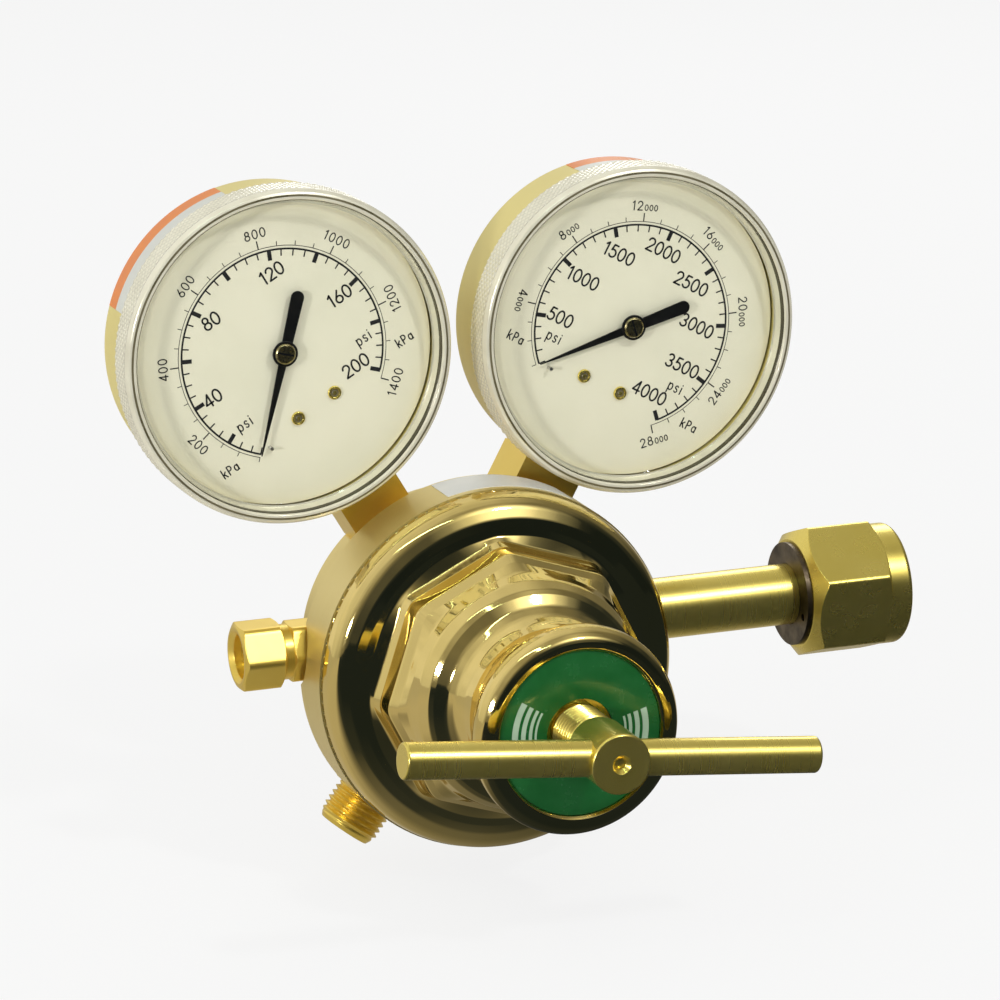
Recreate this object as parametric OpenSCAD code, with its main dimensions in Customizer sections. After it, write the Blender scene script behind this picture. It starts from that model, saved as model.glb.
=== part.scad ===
// Single-stage oxygen regulator with two bourdon-tube gauges.
// Millimetres. +Z is up, the adjusting screw points to -Y and the inlet nut's mouth to +X.
// The origin is the centre of the inlet nut's mouth.
// The regulator is drawn about its main axis, which runs along Y, and is shifted at the end.
// Along the main axis, "forward" is the distance towards the adjusting screw, which is -Y.

/* [Regulator body] */
// Radius of the front band of the body
band_r = 41.5; // [38:0.1:46]
// Forward place of the band's back rim
band_back = 3; // [1:0.1:8]
// Forward place of the band's front rim, where the bonnet meets it
band_front = 17.2; // [15:0.1:24]
// Radius of the body behind the band
rear_r = 34.8; // [33:0.1:38]
// Backward depth of the body's rear face
rear_depth = 19; // [16:0.1:26]
// Radius of the boss that takes the valve plug
plug_boss_r = 16; // [14:0.1:20]
// Length of that boss behind the rear face
plug_boss_l = 5; // [3:0.1:9]
// Radius of the cup that the bonnet screws into
cup_r = 36; // [33:0.1:38]
// Forward place of the cup's floor, where the diaphragm lies
cup_floor = 7.7; // [6:0.1:10]
// Radius of the low-pressure chamber under the diaphragm
chamber_r = 28; // [24:0.1:31]
// Forward place of the low-pressure chamber's floor
chamber_floor = 4; // [3:0.1:6]
// Radius of the high-pressure chamber
valve_chamber_r = 9; // [8:0.1:11]
// Backward depth where the high-pressure chamber starts
valve_chamber_front = 6; // [5:0.1:8]
// Backward depth where the high-pressure chamber ends
valve_chamber_back = 15; // [13:0.1:17]

/* [Ports] */
// Backward depth of the gauge and inlet ports
port_back = 9.75; // [6:0.05:14]
// Height of the inlet port above the main axis
inlet_rise = 1.37; // [0:0.01:6]
// Height of the relief valve's port above the main axis
relief_rise = 4.42; // [0:0.01:8]
// Backward depth of the outlet port
outlet_back = 2; // [0:0.1:10]
// Direction of the outlet port, in degrees left of straight down
outlet_angle = 37.3; // [25:0.1:50]
// Distance of the inlet and outlet bosses' faces from the main axis
boss_face = 40.5; // [39:0.1:44]
// Radius of the inlet boss
boss_r = 9; // [8:0.1:10]

/* [Bonnet] */
// Radius of the bonnet's shoulder
shoulder_r = 41.1; // [38:0.1:45]
// Radius of the shoulder's rounding
shoulder_round = 6.2; // [4:0.1:8]
// Width across the flats of the octagonal step
octagon_af = 58; // [52:0.1:62]
// Turn of the octagon's corners from straight up, in degrees
octagon_turn = 4; // [0:0.5:45]
// Forward place of the octagon's front face
octagon_front = 34.4; // [31:0.1:38]
// Radius that trims the octagon's corners
octagon_trim_r = 31; // [29:0.1:34]
// Radius of the neck
neck_r = 18.6; // [16:0.1:21]
// Largest radius of the cap ring at the front
cap_r = 23.3; // [21:0.1:26]
// Forward place of the cap ring's front edge
cap_front = 70.2; // [66:0.1:76]
// Radius of the spring cavity inside the neck
cavity_r = 15; // [13:0.1:16]
// Radius of the vent recess in the neck
vent_r = 2.6; // [1.5:0.1:4]

/* [Adjusting screw] */
// Outside radius of the adjusting screw's thread, for half an inch
screw_r = 6.35; // [5:0.05:8]
// Pitch of the adjusting screw's thread, for twenty threads an inch
screw_pitch = 1.27; // [1:0.01:2]
// Radius of the hub that holds the bar
hub_r = 6.6; // [6:0.1:9]
// Forward place of the hub's face at rest
hub_front = 93.07; // [86:0.01:100]
// Length of the hub
hub_l = 13; // [11:0.1:16]
// Forward place of the bar's axis at rest
bar_forward = 87.6; // [82:0.1:92]
// Radius of the bar, for five sixteenths of an inch
bar_r = 3.97; // [3:0.01:5]
// Length of the bar
bar_l = 94; // [80:1:120]
// Turn of the bar at rest, in degrees, right end down
bar_turn = 6.1; // [-45:0.1:45]
// Travel of the adjusting screw
screw_travel = 8; // [4:0.5:10]
// Radius of the label disc
label_r = 18.3; // [16:0.1:20]
// Thickness of the label disc
label_t = 0.6; // [0.4:0.1:1]
// Forward place of the label's face
label_front = 69.2; // [66:0.1:74]

/* [Inlet] */
// Radius of the nipple, for nine sixteenths of an inch across
nipple_r = 7.14; // [6:0.01:9]
// Distance of the nut's mouth from the main axis
inlet_reach = 108.9; // [90:0.1:130]
// Length of the nut
nut_l = 24.9; // [20:0.1:30]
// Length of the nut's round front end
nut_round_l = 5.4; // [3:0.1:8]
// Width across the nut's flats, for one and an eighth inches
nut_af = 28.575; // [25:0.005:32]
// Turn of the nut's hexagon at rest, in degrees
nut_turn = 20.6; // [0:0.1:60]
// Inner radius of the nut's female thread
nut_bore_r = 10.8; // [10:0.1:12]
// Pitch of the nut's thread, for fourteen threads an inch
nut_pitch = 1.814; // [1.2:0.001:2.5]
// Radius of the plain bore at the nut's mouth
nut_mouth_r = 11.5; // [11:0.05:12.5]
// Length of that plain bore
nut_mouth_l = 2.4; // [1.5:0.1:4]
// Thickness of the nut's back wall
nut_wall = 5.3; // [4:0.1:7]
// Radius of the washer behind the nut
washer_r = 12.1; // [11:0.1:13]
// Thickness of the washer
washer_t = 1.2; // [0.8:0.1:2]
// How far the nut and washer slide back along the nipple
nut_slide = 30; // [10:1:36]

/* [Outlet and relief valve] */
// Outside radius of the outlet thread, for nine sixteenths of an inch
outlet_r = 7.14; // [6:0.01:9]
// Pitch of the outlet thread, for eighteen threads an inch
outlet_pitch = 1.411; // [1:0.001:2]
// Distance of the outlet's end from the main axis
outlet_reach = 49.9; // [46:0.1:60]
// Radius of the outlet's bore
outlet_bore_r = 2.75; // [2:0.05:4]
// Distance of the relief valve's open end from the main axis
relief_reach = 55.2; // [50:0.1:62]
// Length of the relief valve's large hexagon
relief_hex_l = 9.9; // [7:0.1:12]
// Width across the flats of the relief valve's large hexagon, for nine sixteenths of an inch
relief_af = 14.3; // [12:0.1:17]
// Width across the flats of its small hexagon
relief_small_af = 12.7; // [10:0.1:14]
// Turn of the relief valve's hexagons, a corner straight forward at zero, in degrees
relief_turn = -2; // [-30:1:30]
// Radius of its neck
relief_neck_r = 6.3; // [5:0.1:7]
// Radius of its female thread bore
relief_bore_r = 5; // [4:0.1:6]
// Lift of the relief valve's poppet
relief_lift = 1; // [0.5:0.1:1.5]

/* [Gauges] */
// Turn of the low-pressure gauge's stem from straight up, in degrees to the left
low_turn = 30.42; // [20:0.01:45]
// Distance of the low-pressure gauge's lens ring from the main axis
low_stem = 47.08; // [43:0.01:60]
// Turn of the high-pressure gauge's stem from straight up, in degrees to the right
high_turn = 28.87; // [20:0.01:45]
// Distance of the high-pressure gauge's lens ring from the main axis
high_stem = 44.15; // [43:0.01:60]
// Outside radius of the gauge case
case_r = 35.7; // [30:0.1:45]
// Thickness of the case's sheet
case_t = 0.8; // [0.6:0.1:1.5]
// Backward depth of the case behind the dial's face
case_back = 18.3; // [15:0.1:25]
// Forward depth of the case in front of the dial's face
case_lip = 2.1; // [1.5:0.1:4]
// Forward place of the dial's face from the stem's axis
dial_forward = 10.65; // [9:0.05:12]
// Thickness of the lens ring around the case
lens_wall = 1.9; // [1.2:0.1:3]
// Length of the lens ring
lens_l = 9.5; // [8:0.1:14]
// Forward place of the lens ring's back edge from the dial's face
lens_back = -3; // [-6:0.1:0]
// Thickness of the window in the lens
window_t = 1.8; // [1:0.1:3]
// Distance of the raised rim's inside from the case's outside
window_inset = 0.8; // [0.5:0.1:2]
// Depth of the window below the rim
window_sunk = 2; // [0.5:0.1:3]
// Width across the flats of the square socket
socket_af = 14.9; // [12:0.1:16]
// Distance of the socket's inner end from the gauge's centre
socket_top = 16; // [14:0.5:20]
// Centre radius of the bourdon tube
tube_r = 25; // [20:0.1:30]
// Width of the bourdon tube along the gauge's axis
tube_w = 9; // [6:0.1:12]
// Thickness of the bourdon tube
tube_t = 3; // [2:0.1:5]
// Module of the movement's gears
gear_module = 0.4; // [0.3:0.05:0.6]
// Teeth on the pinion
pinion_teeth = 10; // [8:1:14]
// Teeth on a full circle of the sector gear
sector_teeth = 80; // [60:1:100]
// Distance of the pointer's tip from the gauge's centre
pointer_tip = 23.4; // [18:0.1:30]
// Distance of the pointer's round tail from the gauge's centre
pointer_tail = 14.2; // [8:0.1:18]
// Angle of the pointer's zero from the top of the dial, in degrees to the left
pointer_zero = 135; // [120:1:150]

/* [Hidden] */
$fn = 96;
// clearances, each used wherever that kind of fit occurs
thread_gap = 0.03;
run_gap = 0.05;
slip_gap = 0.1;
small = 0.02;
eps = 0.5;

// places along the main axis, forward is positive
diaphragm_t = 0.8;
diaphragm_front = cup_floor + diaphragm_t;
slip_ring_t = 1;
bonnet_back = diaphragm_front + slip_ring_t;
plate_t = 2.5;
plate_front = diaphragm_front + plate_t;
plate_r = 13;
plate_pilot_r = 7;
plate_pilot_l = 3;
plate_stud_r = 2.9;
pusher_r = 9;
pusher_t = 1.25;
pusher_back = cup_floor - small - pusher_t;
spring_wire = 3.2;
spring_mean_r = 9.2;
button_back = 41;
button_t = 5;
button_r = 13.5;
button_pilot_l = 3;
button_front = button_back + button_t;
bell_r = 27;
dish_front = band_front + shoulder_round;
dome_r = 28;
neck_back = 50.5;
neck_front = 56.5;
octagon_back = octagon_front - 12.4;
cavity_front = neck_back;
screw_tip_r = 3;
screw_tip_l = 2.5;
thread_back = 56;
thread_front = 77;
screw_relief_r = 5.6;
shank_r = 6.1;
label_hole_r = 7.6;

// ports
// the sockets and the relief valve stand on flats cut just into the body's round side
gauge_face = sqrt(rear_r * rear_r - socket_af * socket_af / 4) - 0.1;
spigot_r = 5.2;
spigot_l = 9.5;
gauge_port_in = gauge_face - spigot_l - 0.4;
low_drill_r = 23;
outlet_thread_l = outlet_reach - 1 - boss_face;
outlet_turns = floor(outlet_thread_l / outlet_pitch);
outlet_low = outlet_reach - 1 - outlet_pitch * outlet_turns;
outlet_root_l = 10.5;
outlet_in = boss_face - outlet_root_l;
outlet_drill_r = 25.2;

// valve
nozzle_r = 4;
nozzle_bore_r = 1.6;
pin_r = 0.9;
poppet_r = 5;
poppet_back = 9;
tail_r = 2;
tail_end = 22;
plug_bore_r = 10.5;
plug_spring_r = 4.2;
plug_spring_depth = 20;
plug_end = rear_depth + plug_boss_l;
plug_hex_l = 7;
plug_af = 22;

// inlet
nut_back_x = inlet_reach - nut_l;
nut_vertex_r = nut_af / 2 / cos(30);
nut_round_r = nut_af / 2 - 0.1;
collar_r = 10.4;
collar_l = 3.4;
nose_r = 8.3;
nipple_bore_r = 3.6;
nipple_end_x = inlet_reach - 5;
nipple_in_x = boss_face - 11.5;
filter_r = 3.5;
filter_l = 9;
washer_x = nut_back_x - washer_t;

// relief valve
relief_vertex_r = relief_af / 2 / cos(30);
relief_small_vertex_r = relief_small_af / 2 / cos(30);
relief_hex_x = relief_reach - relief_hex_l;
relief_face = sqrt(rear_r * rear_r - relief_small_vertex_r * relief_small_vertex_r) - 0.1;
relief_root_r = 4.8;
relief_in = relief_face - 6.5;
relief_drill_x = 25.8;
relief_neck_l = 1.8;
relief_seat_x = 42.5;
relief_poppet_r = 3.6;
relief_poppet_t = 2;
relief_stem_r = 1.2;
retainer_x = 50;
retainer_l = 2.5;

// gauge
case_in_r = case_r - case_t;
dial_r = case_in_r - 0.5;
lens_r = case_r + lens_wall;
low_reach = low_stem + lens_r;
high_reach = high_stem + lens_r;
window_r = case_r - window_inset;
case_back_z = dial_forward - case_back;
case_front_z = dial_forward + case_lip;
dial_t = 0.5;
dial_back_z = dial_forward - dial_t;
lens_back_z = dial_forward + lens_back;
lens_front_z = lens_back_z + lens_l;
window_front_z = lens_front_z - window_sunk;
window_back_z = window_front_z - window_t;
socket_in_half = -case_back_z - case_t - slip_gap;
socket_step = case_r + slip_gap;
socket_seat = tube_r + 1;
frame_z = 1;
frame_t = 1.2;
front_plate_z = 7.2;
front_plate_t = 1;
gear_z = 4;
gear_t = 1.1;
link_z = gear_z + gear_t + slip_gap;
link_t = 0.8;
pinion_pitch_r = gear_module * pinion_teeth / 2;
sector_pitch_r = gear_module * sector_teeth / 2;
gear_distance = pinion_pitch_r + sector_pitch_r;
arbor_r = 0.7;
sector_arbor_r = 0.9;
post_x = 4.95;
post_y = -14.7;
post_r = 1.7;
dial_screw_r = 0.95;
tail_pin_r = 0.6;
movement_screw_y = -17.6;
tube_gap = 0.3;
sector_sweep = 270 * pinion_teeth / sector_teeth;
// at rest the sector stands half its sweep to one side
sector_rest = -sector_sweep / 2;
rim_half = 28;
// puts a gap between two sector teeth opposite the pinion at rest
tooth_pitch = 360 / sector_teeth;
tooth_shift = (-sector_rest + tooth_pitch / 2) % tooth_pitch;
tail_pin_d = 5.5;
tail_pin_angle = -60;
tube_start = 262;
tube_end = -20;
pointer_z = dial_forward + 1.3;
pointer_t = 0.4;
stop_r = 21.4;
stop_turn = 140;
sticker_t = 0.12;

// point on an arc, and a list of points along it
function arc(cx, cy, r, a0, a1, n) = [for (i = [0:n]) [cx + r * cos(a0 + (a1 - a0) * i / n),
  cy + r * sin(a0 + (a1 - a0) * i / n)]];
// outline of a grooved thread, as [radius, height] pairs going up
function thread_outline(r, pitch, low, turns) = [for (i = [0:turns - 1], k = [0:3])
  [k == 0 || k == 1 ? r : r - 0.5 * pitch,
   low + pitch * (i + [0, 0.2, 0.55, 0.65][k])]];
// outline of a female thread, as [radius, height] pairs going up
function groove_outline(r_in, r_out, pitch, low, turns) = [for (i = [0:turns - 1], k = [0:3])
  [k == 0 || k == 3 ? r_in : r_out, low + pitch * (i + [0, 0.35, 0.55, 0.9][k])]];

// frame of the main axis: local z runs forward, local y is up
module main_axis() {
  translate([-inlet_reach, -port_back, -inlet_rise])
    rotate([90, 0, 0])
      children();
}
// frame of a port in the plane at a backward depth, local z runs outward
// turn is counted from straight up to the right, seen from the front
module port(turn, back) {
  translate([0, 0, -back])
    rotate([0, 0, -turn])
      rotate([-90, 0, 0])
        children();
}
// frame of the relief port, local z runs outward to the left
module relief_axis() {
  main_axis()
    translate([0, relief_rise, 0])
      rotate([0, -90, 0])
        children();
}
// frame of the inlet, local z runs outward along +X from the main axis
module inlet_axis() {
  translate([-inlet_reach, 0, 0])
    rotate([0, 90, 0])
      children();
}
// frame of a gauge: local y points away from the regulator, local z forward, origin on the stem's axis
module gauge_frame(turn, reach) {
  main_axis()
    translate([0, 0, -port_back])
      rotate([0, 0, -turn])
        translate([0, reach, 0])
          children();
}
module low_frame() {
  gauge_frame(-low_turn, low_reach)
    children();
}
module high_frame() {
  gauge_frame(high_turn, high_reach)
    children();
}
// plain ring or tube from z low to z high
module ring(r_out, r_in, low, high) {
  difference() {
    translate([0, 0, low])
      cylinder(r = r_out, h = high - low);
    translate([0, 0, low - eps])
      cylinder(r = r_in, h = high - low + 2 * eps);
  }
}
module rod(r, low, high) {
  translate([0, 0, low])
    cylinder(r = r, h = high - low);
}
// hexagonal prism with its corners turned down at both ends
module turned_hex(af, low, high, turn, cut) {
  // the cone runs on past the corners
  far = af / 2 / cos(30) + 1;
  rise = 0.55 * (far - af / 2 + cut);
  intersection() {
    translate([0, 0, low])
      rotate([0, 0, turn])
        cylinder(d = af / cos(30), h = high - low, $fn = 6);
    rotate_extrude()
      polygon([[0, low], [af / 2 - cut, low], [far, low + rise],
        [far, high - rise], [af / 2 - cut, high], [0, high]]);
  }
}
// coil spring, closed flat at its ends by rings of the same wire
// the section across the axis is the curved oval that an inclined round wire leaves
module coil(mean_r, wire, low, high, turns) {
  lead = (high - low - wire) / turns;
  half_angle = 180 * wire / lead;
  section = [for (i = [0:15]) let (t = 22.5 * i, r = mean_r + wire / 2 * cos(t), a = half_angle * sin(t))
    [r * cos(a), r * sin(a)]];
  union() {
    translate([0, 0, low + wire / 2])
      linear_extrude(height = high - low - wire, twist = -360 * turns, slices = 16 * turns, $fn = 16)
        polygon(section);
    ring(mean_r + wire / 2, mean_r - wire / 2, low, low + wire * 0.6);
    ring(mean_r + wire / 2, mean_r - wire / 2, high - wire * 0.6, high);
  }
}

module regulator_body() {
  color("goldenrod")
    main_axis()
      difference() {
        union() {
          rotate_extrude()
            polygon([[0, -rear_depth], [rear_r - 3, -rear_depth], [rear_r, -rear_depth + 3],
              [rear_r, band_back], [band_r - 0.6, band_back], [band_r, band_back + 0.6],
              [band_r, band_front], [0, band_front]]);
          rod(plug_boss_r, -plug_end, -rear_depth + eps);
          translate([0, inlet_rise, 0])
            port(90, port_back)
              rod(boss_r, outlet_in, boss_face);
          port(180 + outlet_angle, outlet_back)
            rod(outlet_r + 1.1, outlet_in, boss_face);
        }
        // cup for the bonnet, low-pressure chamber, high-pressure chamber and the plug's bore
        rod(cup_r, cup_floor, band_front + eps);
        rod(chamber_r, chamber_floor, cup_floor + eps);
        rod(nozzle_r + thread_gap, -valve_chamber_front - eps, chamber_floor + eps);
        rod(valve_chamber_r, -valve_chamber_back - eps, -valve_chamber_front);
        rod(plug_bore_r + thread_gap, -plug_end - eps, -valve_chamber_back);
        // spot faces where the relief valve and the outlet meet the band
        translate([0, relief_rise, 0])
          rotate([0, -90, 0])
            rod(relief_small_vertex_r + 0.5, relief_face, band_r + 2);
        port(180 + outlet_angle, outlet_back)
          rod(outlet_r + 1.2, boss_face, band_r + 2);
        // flats under the gauges' sockets
        for (turn = [-low_turn, high_turn])
          port(turn, port_back)
            translate([-socket_af / 2 - 0.5, -socket_af / 2 - 0.5, gauge_face])
              cube([socket_af + 1, socket_af + 1, rear_r]);
        // gauge ports, the left one led forward to the low-pressure chamber
        port(-low_turn, port_back) {
          rod(spigot_r, gauge_port_in, gauge_face + eps);
          rod(1.6, low_drill_r - 1, gauge_port_in + eps);
        }
        rotate([0, 0, low_turn])
          translate([0, low_drill_r, 0])
            rod(1.5, -port_back, chamber_floor + eps);
        port(high_turn, port_back) {
          rod(spigot_r, gauge_port_in, gauge_face + eps);
          rod(1.6, 6, gauge_port_in + eps);
        }
        // inlet port
        translate([0, inlet_rise, 0])
          port(90, port_back) {
            rod(nipple_r - 1 + thread_gap, nipple_in_x, boss_face + eps);
            rod(2.4, 5, nipple_in_x + eps);
          }
        // outlet port and its passage
        port(180 + outlet_angle, outlet_back) {
          rod(outlet_r - 1 + thread_gap, outlet_in, boss_face + eps);
          rod(2.3, outlet_drill_r - 1.2, outlet_in + eps);
        }
        rotate([0, 0, 180 - outlet_angle])
          translate([0, outlet_drill_r, 0])
            rod(2, -outlet_back, chamber_floor + eps);
        // relief port and its passage
        translate([0, relief_rise, 0])
          rotate([0, -90, 0]) {
            rod(relief_root_r + thread_gap, relief_in, relief_face + eps);
            rod(1.6, relief_drill_x - 0.8, relief_in + eps);
          }
        translate([-relief_drill_x, relief_rise, 0])
          rod(1.5, 0, chamber_floor + eps);
      }
}

module valve_nozzle() {
  color("khaki")
    main_axis()
      difference() {
        union() {
          rod(nozzle_r, -valve_chamber_front, chamber_floor);
          rotate_extrude()
            polygon([[0, chamber_floor], [nozzle_r + 2, chamber_floor],
              [nozzle_r + 2, chamber_floor + 0.9], [0, chamber_floor + 0.9]]);
        }
        rod(nozzle_bore_r, -valve_chamber_front - eps, chamber_floor + 2);
      }
}

module valve_plug() {
  color("gold")
    main_axis()
      difference() {
        union() {
          rod(plug_bore_r, -plug_end - 1, -valve_chamber_back);
          turned_hex(plug_af, -plug_end - plug_hex_l, -plug_end, 30, 0.8);
        }
        rod(plug_spring_r, -plug_spring_depth, -valve_chamber_back + eps);
        rod(tail_r + run_gap, -tail_end - 2, -plug_spring_depth + eps);
      }
}

module valve_poppet() {
  color("silver")
    main_axis() {
      rod(pin_r, -valve_chamber_front - small, pusher_back - small);
      rod(poppet_r, -poppet_back, -valve_chamber_front - small);
      rod(tail_r, -tail_end, -poppet_back);
    }
}

module valve_spring() {
  color("lightgray")
    main_axis()
      coil(3.1, 0.7, -plug_spring_depth + small, -poppet_back - small, 5);
}

module diaphragm() {
  color("dimgray")
    main_axis()
      ring(cup_r - 1.5, plate_stud_r + run_gap, cup_floor, diaphragm_front);
}

module pusher() {
  color("khaki")
    main_axis()
      ring(pusher_r, plate_stud_r + thread_gap, pusher_back, pusher_back + pusher_t - small);
}

module diaphragm_plate() {
  color("silver")
    main_axis() {
      rod(plate_r, diaphragm_front + small, plate_front);
      rod(plate_pilot_r, plate_front, plate_front + plate_pilot_l);
      rod(plate_stud_r, pusher_back, diaphragm_front + small);
    }
}

module slip_ring() {
  color("silver")
    main_axis()
      ring(cup_r - 1.5, chamber_r, diaphragm_front, bonnet_back);
}

module bonnet_spring() {
  color("slategray")
    main_axis()
      coil(spring_mean_r, spring_wire, plate_front + small, button_back - small, 5);
}

module spring_button() {
  color("silver")
    main_axis()
      difference() {
        union() {
          rod(button_r, button_back, button_front);
          rod(plate_pilot_r, button_back - button_pilot_l, button_back);
        }
        // seat for the screw's round tip
        rod(screw_tip_r + run_gap, button_front - 1.2, button_front + eps);
      }
}

// outside of the bonnet as [radius, forward] pairs, from the joint to the label's recess
bonnet_out = concat(
  [[cup_r - thread_gap, bonnet_back], [cup_r - thread_gap, band_front], [shoulder_r, band_front]],
  arc(shoulder_r - shoulder_round, band_front, shoulder_round, 0, 80, 8),
  // dished ledge, and the foot of the dome
  [[shoulder_r - 7.5, dish_front - 0.1], [shoulder_r - 8.5, dish_front + 0.5],
   [shoulder_r - 9.5, dish_front + 1.8], [dome_r + 0.6, dish_front + 2.6],
   [dome_r, octagon_front - 1], [dome_r - 0.1, octagon_front + 1.6], [dome_r - 1.4, octagon_front + 4.8]],
  arc(dome_r - 4.8, octagon_front + 6.6, 2.2, 40, 85, 3),
  [[neck_r + 3, neck_back - 6.3], [neck_r + 1.4, neck_back - 4.5], [neck_r + 0.6, neck_back - 2.5],
   [neck_r, neck_back], [neck_r, neck_front], [neck_r + 0.7, neck_front + 2.3]],
  // cap ring
  [[cap_r - 2.4, cap_front - 9.6], [cap_r - 1, cap_front - 7.8], [cap_r - 0.2, cap_front - 6],
   [cap_r, cap_front - 4.6], [cap_r - 0.1, cap_front - 3.2], [cap_r - 0.8, cap_front - 1.6],
   [cap_r - 2, cap_front - 0.4], [cap_r - 3.2, cap_front], [label_r + 0.5, cap_front]]);
bonnet_in = [
  [label_r + thread_gap, cap_front - 0.4], [label_r + thread_gap, label_front - label_t],
  [screw_r + run_gap, label_front - label_t], [screw_r + run_gap, cavity_front],
  [cavity_r, cavity_front], [cavity_r, octagon_front + 1.6], [cavity_r + 9, octagon_back + 2],
  [bell_r, octagon_back - 2], [bell_r, bonnet_back]];

module bonnet() {
  color("darkgoldenrod")
    main_axis()
      difference() {
        union() {
          rotate_extrude()
            polygon(concat(bonnet_out, bonnet_in));
          // octagonal step, its corners trimmed round and its front edge bevelled
          intersection() {
            translate([0, 0, octagon_back])
              rotate([0, 0, 90 + octagon_turn])
                cylinder(d = octagon_af / cos(22.5), h = octagon_front - octagon_back, $fn = 8);
            rotate_extrude()
              polygon([[dome_r - 2, octagon_back], [octagon_trim_r + 0.6, octagon_back],
                [octagon_trim_r + 0.3, octagon_back + 4.6], [octagon_trim_r - 0.3, octagon_front - 2.6],
                [octagon_trim_r - 2.4, octagon_front], [dome_r - 2, octagon_front]]);
          }
        }
        // vent recess in the neck
        rotate([0, 0, 28])
          translate([0, 0, (neck_back + neck_front) / 2])
            rotate([-90, 0, 0])
              rod(vent_r, neck_r - 1.6, neck_r + 4);
      }
}

module adjusting_screw() {
  turns = floor((thread_front - thread_back) / screw_pitch);
  color("gold")
    main_axis()
      difference() {
        rotate_extrude()
          polygon(concat(
            [[0, button_front - 1.2 + small], [screw_tip_r - 0.6, button_front - 1.2 + small],
             [screw_tip_r, button_front - 0.8], [screw_tip_r, button_front + screw_tip_l],
             [screw_relief_r, button_front + screw_tip_l + 1], [screw_relief_r, thread_back]],
            thread_outline(screw_r, screw_pitch, thread_back, turns),
            [[shank_r, thread_front], [shank_r, thread_front + 1],
             [screw_r, thread_front + 1.4], [screw_r, hub_front - hub_l - 0.6],
             [hub_r, hub_front - hub_l], [hub_r, hub_front - 0.5], [hub_r - 0.5, hub_front],
             [2.4, hub_front], [1.1, hub_front - 1.3], [1.1, hub_front - 3.2], [0, hub_front - 3.8]]));
        translate([0, 0, bar_forward])
          rotate([0, 90, 0])
            rotate([bar_turn, 0, 0])
              rod(bar_r + thread_gap, -hub_r - 2, hub_r + 2);
      }
}

module t_bar() {
  color("gold")
    main_axis()
      translate([0, 0, bar_forward])
        rotate([0, 90, 0])
          rotate([bar_turn, 0, 0])
            rotate_extrude()
              polygon([[0, -bar_l / 2], [bar_r - 0.9, -bar_l / 2], [bar_r - 0.3, -bar_l / 2 + 0.3],
                [bar_r, -bar_l / 2 + 0.9], [bar_r, bar_l / 2 - 0.9], [bar_r - 0.3, bar_l / 2 - 0.3],
                [bar_r - 0.9, bar_l / 2], [0, bar_l / 2]]);
}

module bonnet_label() {
  color("green")
    main_axis()
      ring(label_r, label_hole_r, label_front - label_t, label_front);
}

module body_label() {
  color("white")
    main_axis()
      rotate([0, 0, 62])
        rotate_extrude(angle = 42)
          polygon([[band_r, 4.4], [band_r + 0.15, 4.4], [band_r + 0.15, 15.4], [band_r, 15.4]]);
}

module inlet_nipple() {
  color("goldenrod")
    inlet_axis()
      difference() {
        rotate_extrude()
          polygon(concat(
            [[0, nipple_in_x + small], [nipple_r - 1, nipple_in_x + small], [nipple_r - 1, boss_face],
             [nipple_r, boss_face], [nipple_r, nut_back_x + nut_wall + slip_gap],
             [collar_r - 0.5, nut_back_x + nut_wall + slip_gap],
             [collar_r, nut_back_x + nut_wall + slip_gap + 0.5],
             [collar_r, nut_back_x + nut_wall + collar_l], [nose_r, nut_back_x + nut_wall + collar_l + 2.2]],
            arc(nipple_bore_r + 1, nipple_end_x - 4, nose_r - nipple_bore_r - 1, 0, 90, 6),
            [[0, nipple_end_x - 4 + nose_r - nipple_bore_r - 1]]));
        rod(2.4, nipple_in_x - 1, nipple_end_x);
        rod(nipple_bore_r, nipple_end_x - filter_l - 1, inlet_reach);
      }
}

module inlet_filter() {
  color("peru")
    inlet_axis()
      rod(filter_r, nipple_end_x - filter_l - 1, nipple_end_x - 1);
}

module nut_washer() {
  color("gray")
    inlet_axis()
      difference() {
        ring(washer_r, nipple_r + slip_gap, washer_x, nut_back_x - small);
        for (a = [20.6, 200.6])
          rotate([0, 0, a])
            translate([0, -(washer_r - 2.4), 0])
              rod(0.9, washer_x - eps, nut_back_x + eps);
      }
}

module inlet_nut() {
  back = nut_back_x;
  hex_end = inlet_reach - nut_round_l;
  color("gold")
    inlet_axis()
      difference() {
        union() {
          intersection() {
            translate([0, 0, back])
              rotate([0, 0, 90 - nut_turn])
                cylinder(r = nut_vertex_r, h = hex_end - back, $fn = 6);
            rotate_extrude()
              polygon([[0, back], [nut_af / 2 - 1.6, back], [nut_vertex_r + 1.2, back + 3.9],
                [nut_vertex_r + 1.2, hex_end - 2.1], [nut_round_r, hex_end], [0, hex_end]]);
          }
          rotate_extrude()
            polygon([[0, hex_end - eps], [nut_round_r, hex_end - eps], [nut_round_r, inlet_reach - 1],
              [nut_round_r - 1, inlet_reach], [0, inlet_reach]]);
        }
        rod(nipple_r + slip_gap, back - eps, inlet_reach);
        // threaded bore, drawn as rings, and the plain bore at the mouth
        rotate_extrude()
          polygon(concat([[0, back + nut_wall], [nut_bore_r, back + nut_wall]],
            groove_outline(nut_bore_r, nut_mouth_r + 0.1, nut_pitch,
              inlet_reach - nut_mouth_l - 0.4 - 7 * nut_pitch, 7),
            [[nut_bore_r, inlet_reach - nut_mouth_l], [nut_mouth_r, inlet_reach - nut_mouth_l],
             [nut_mouth_r, inlet_reach + eps], [0, inlet_reach + eps]]));
      }
}

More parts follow.
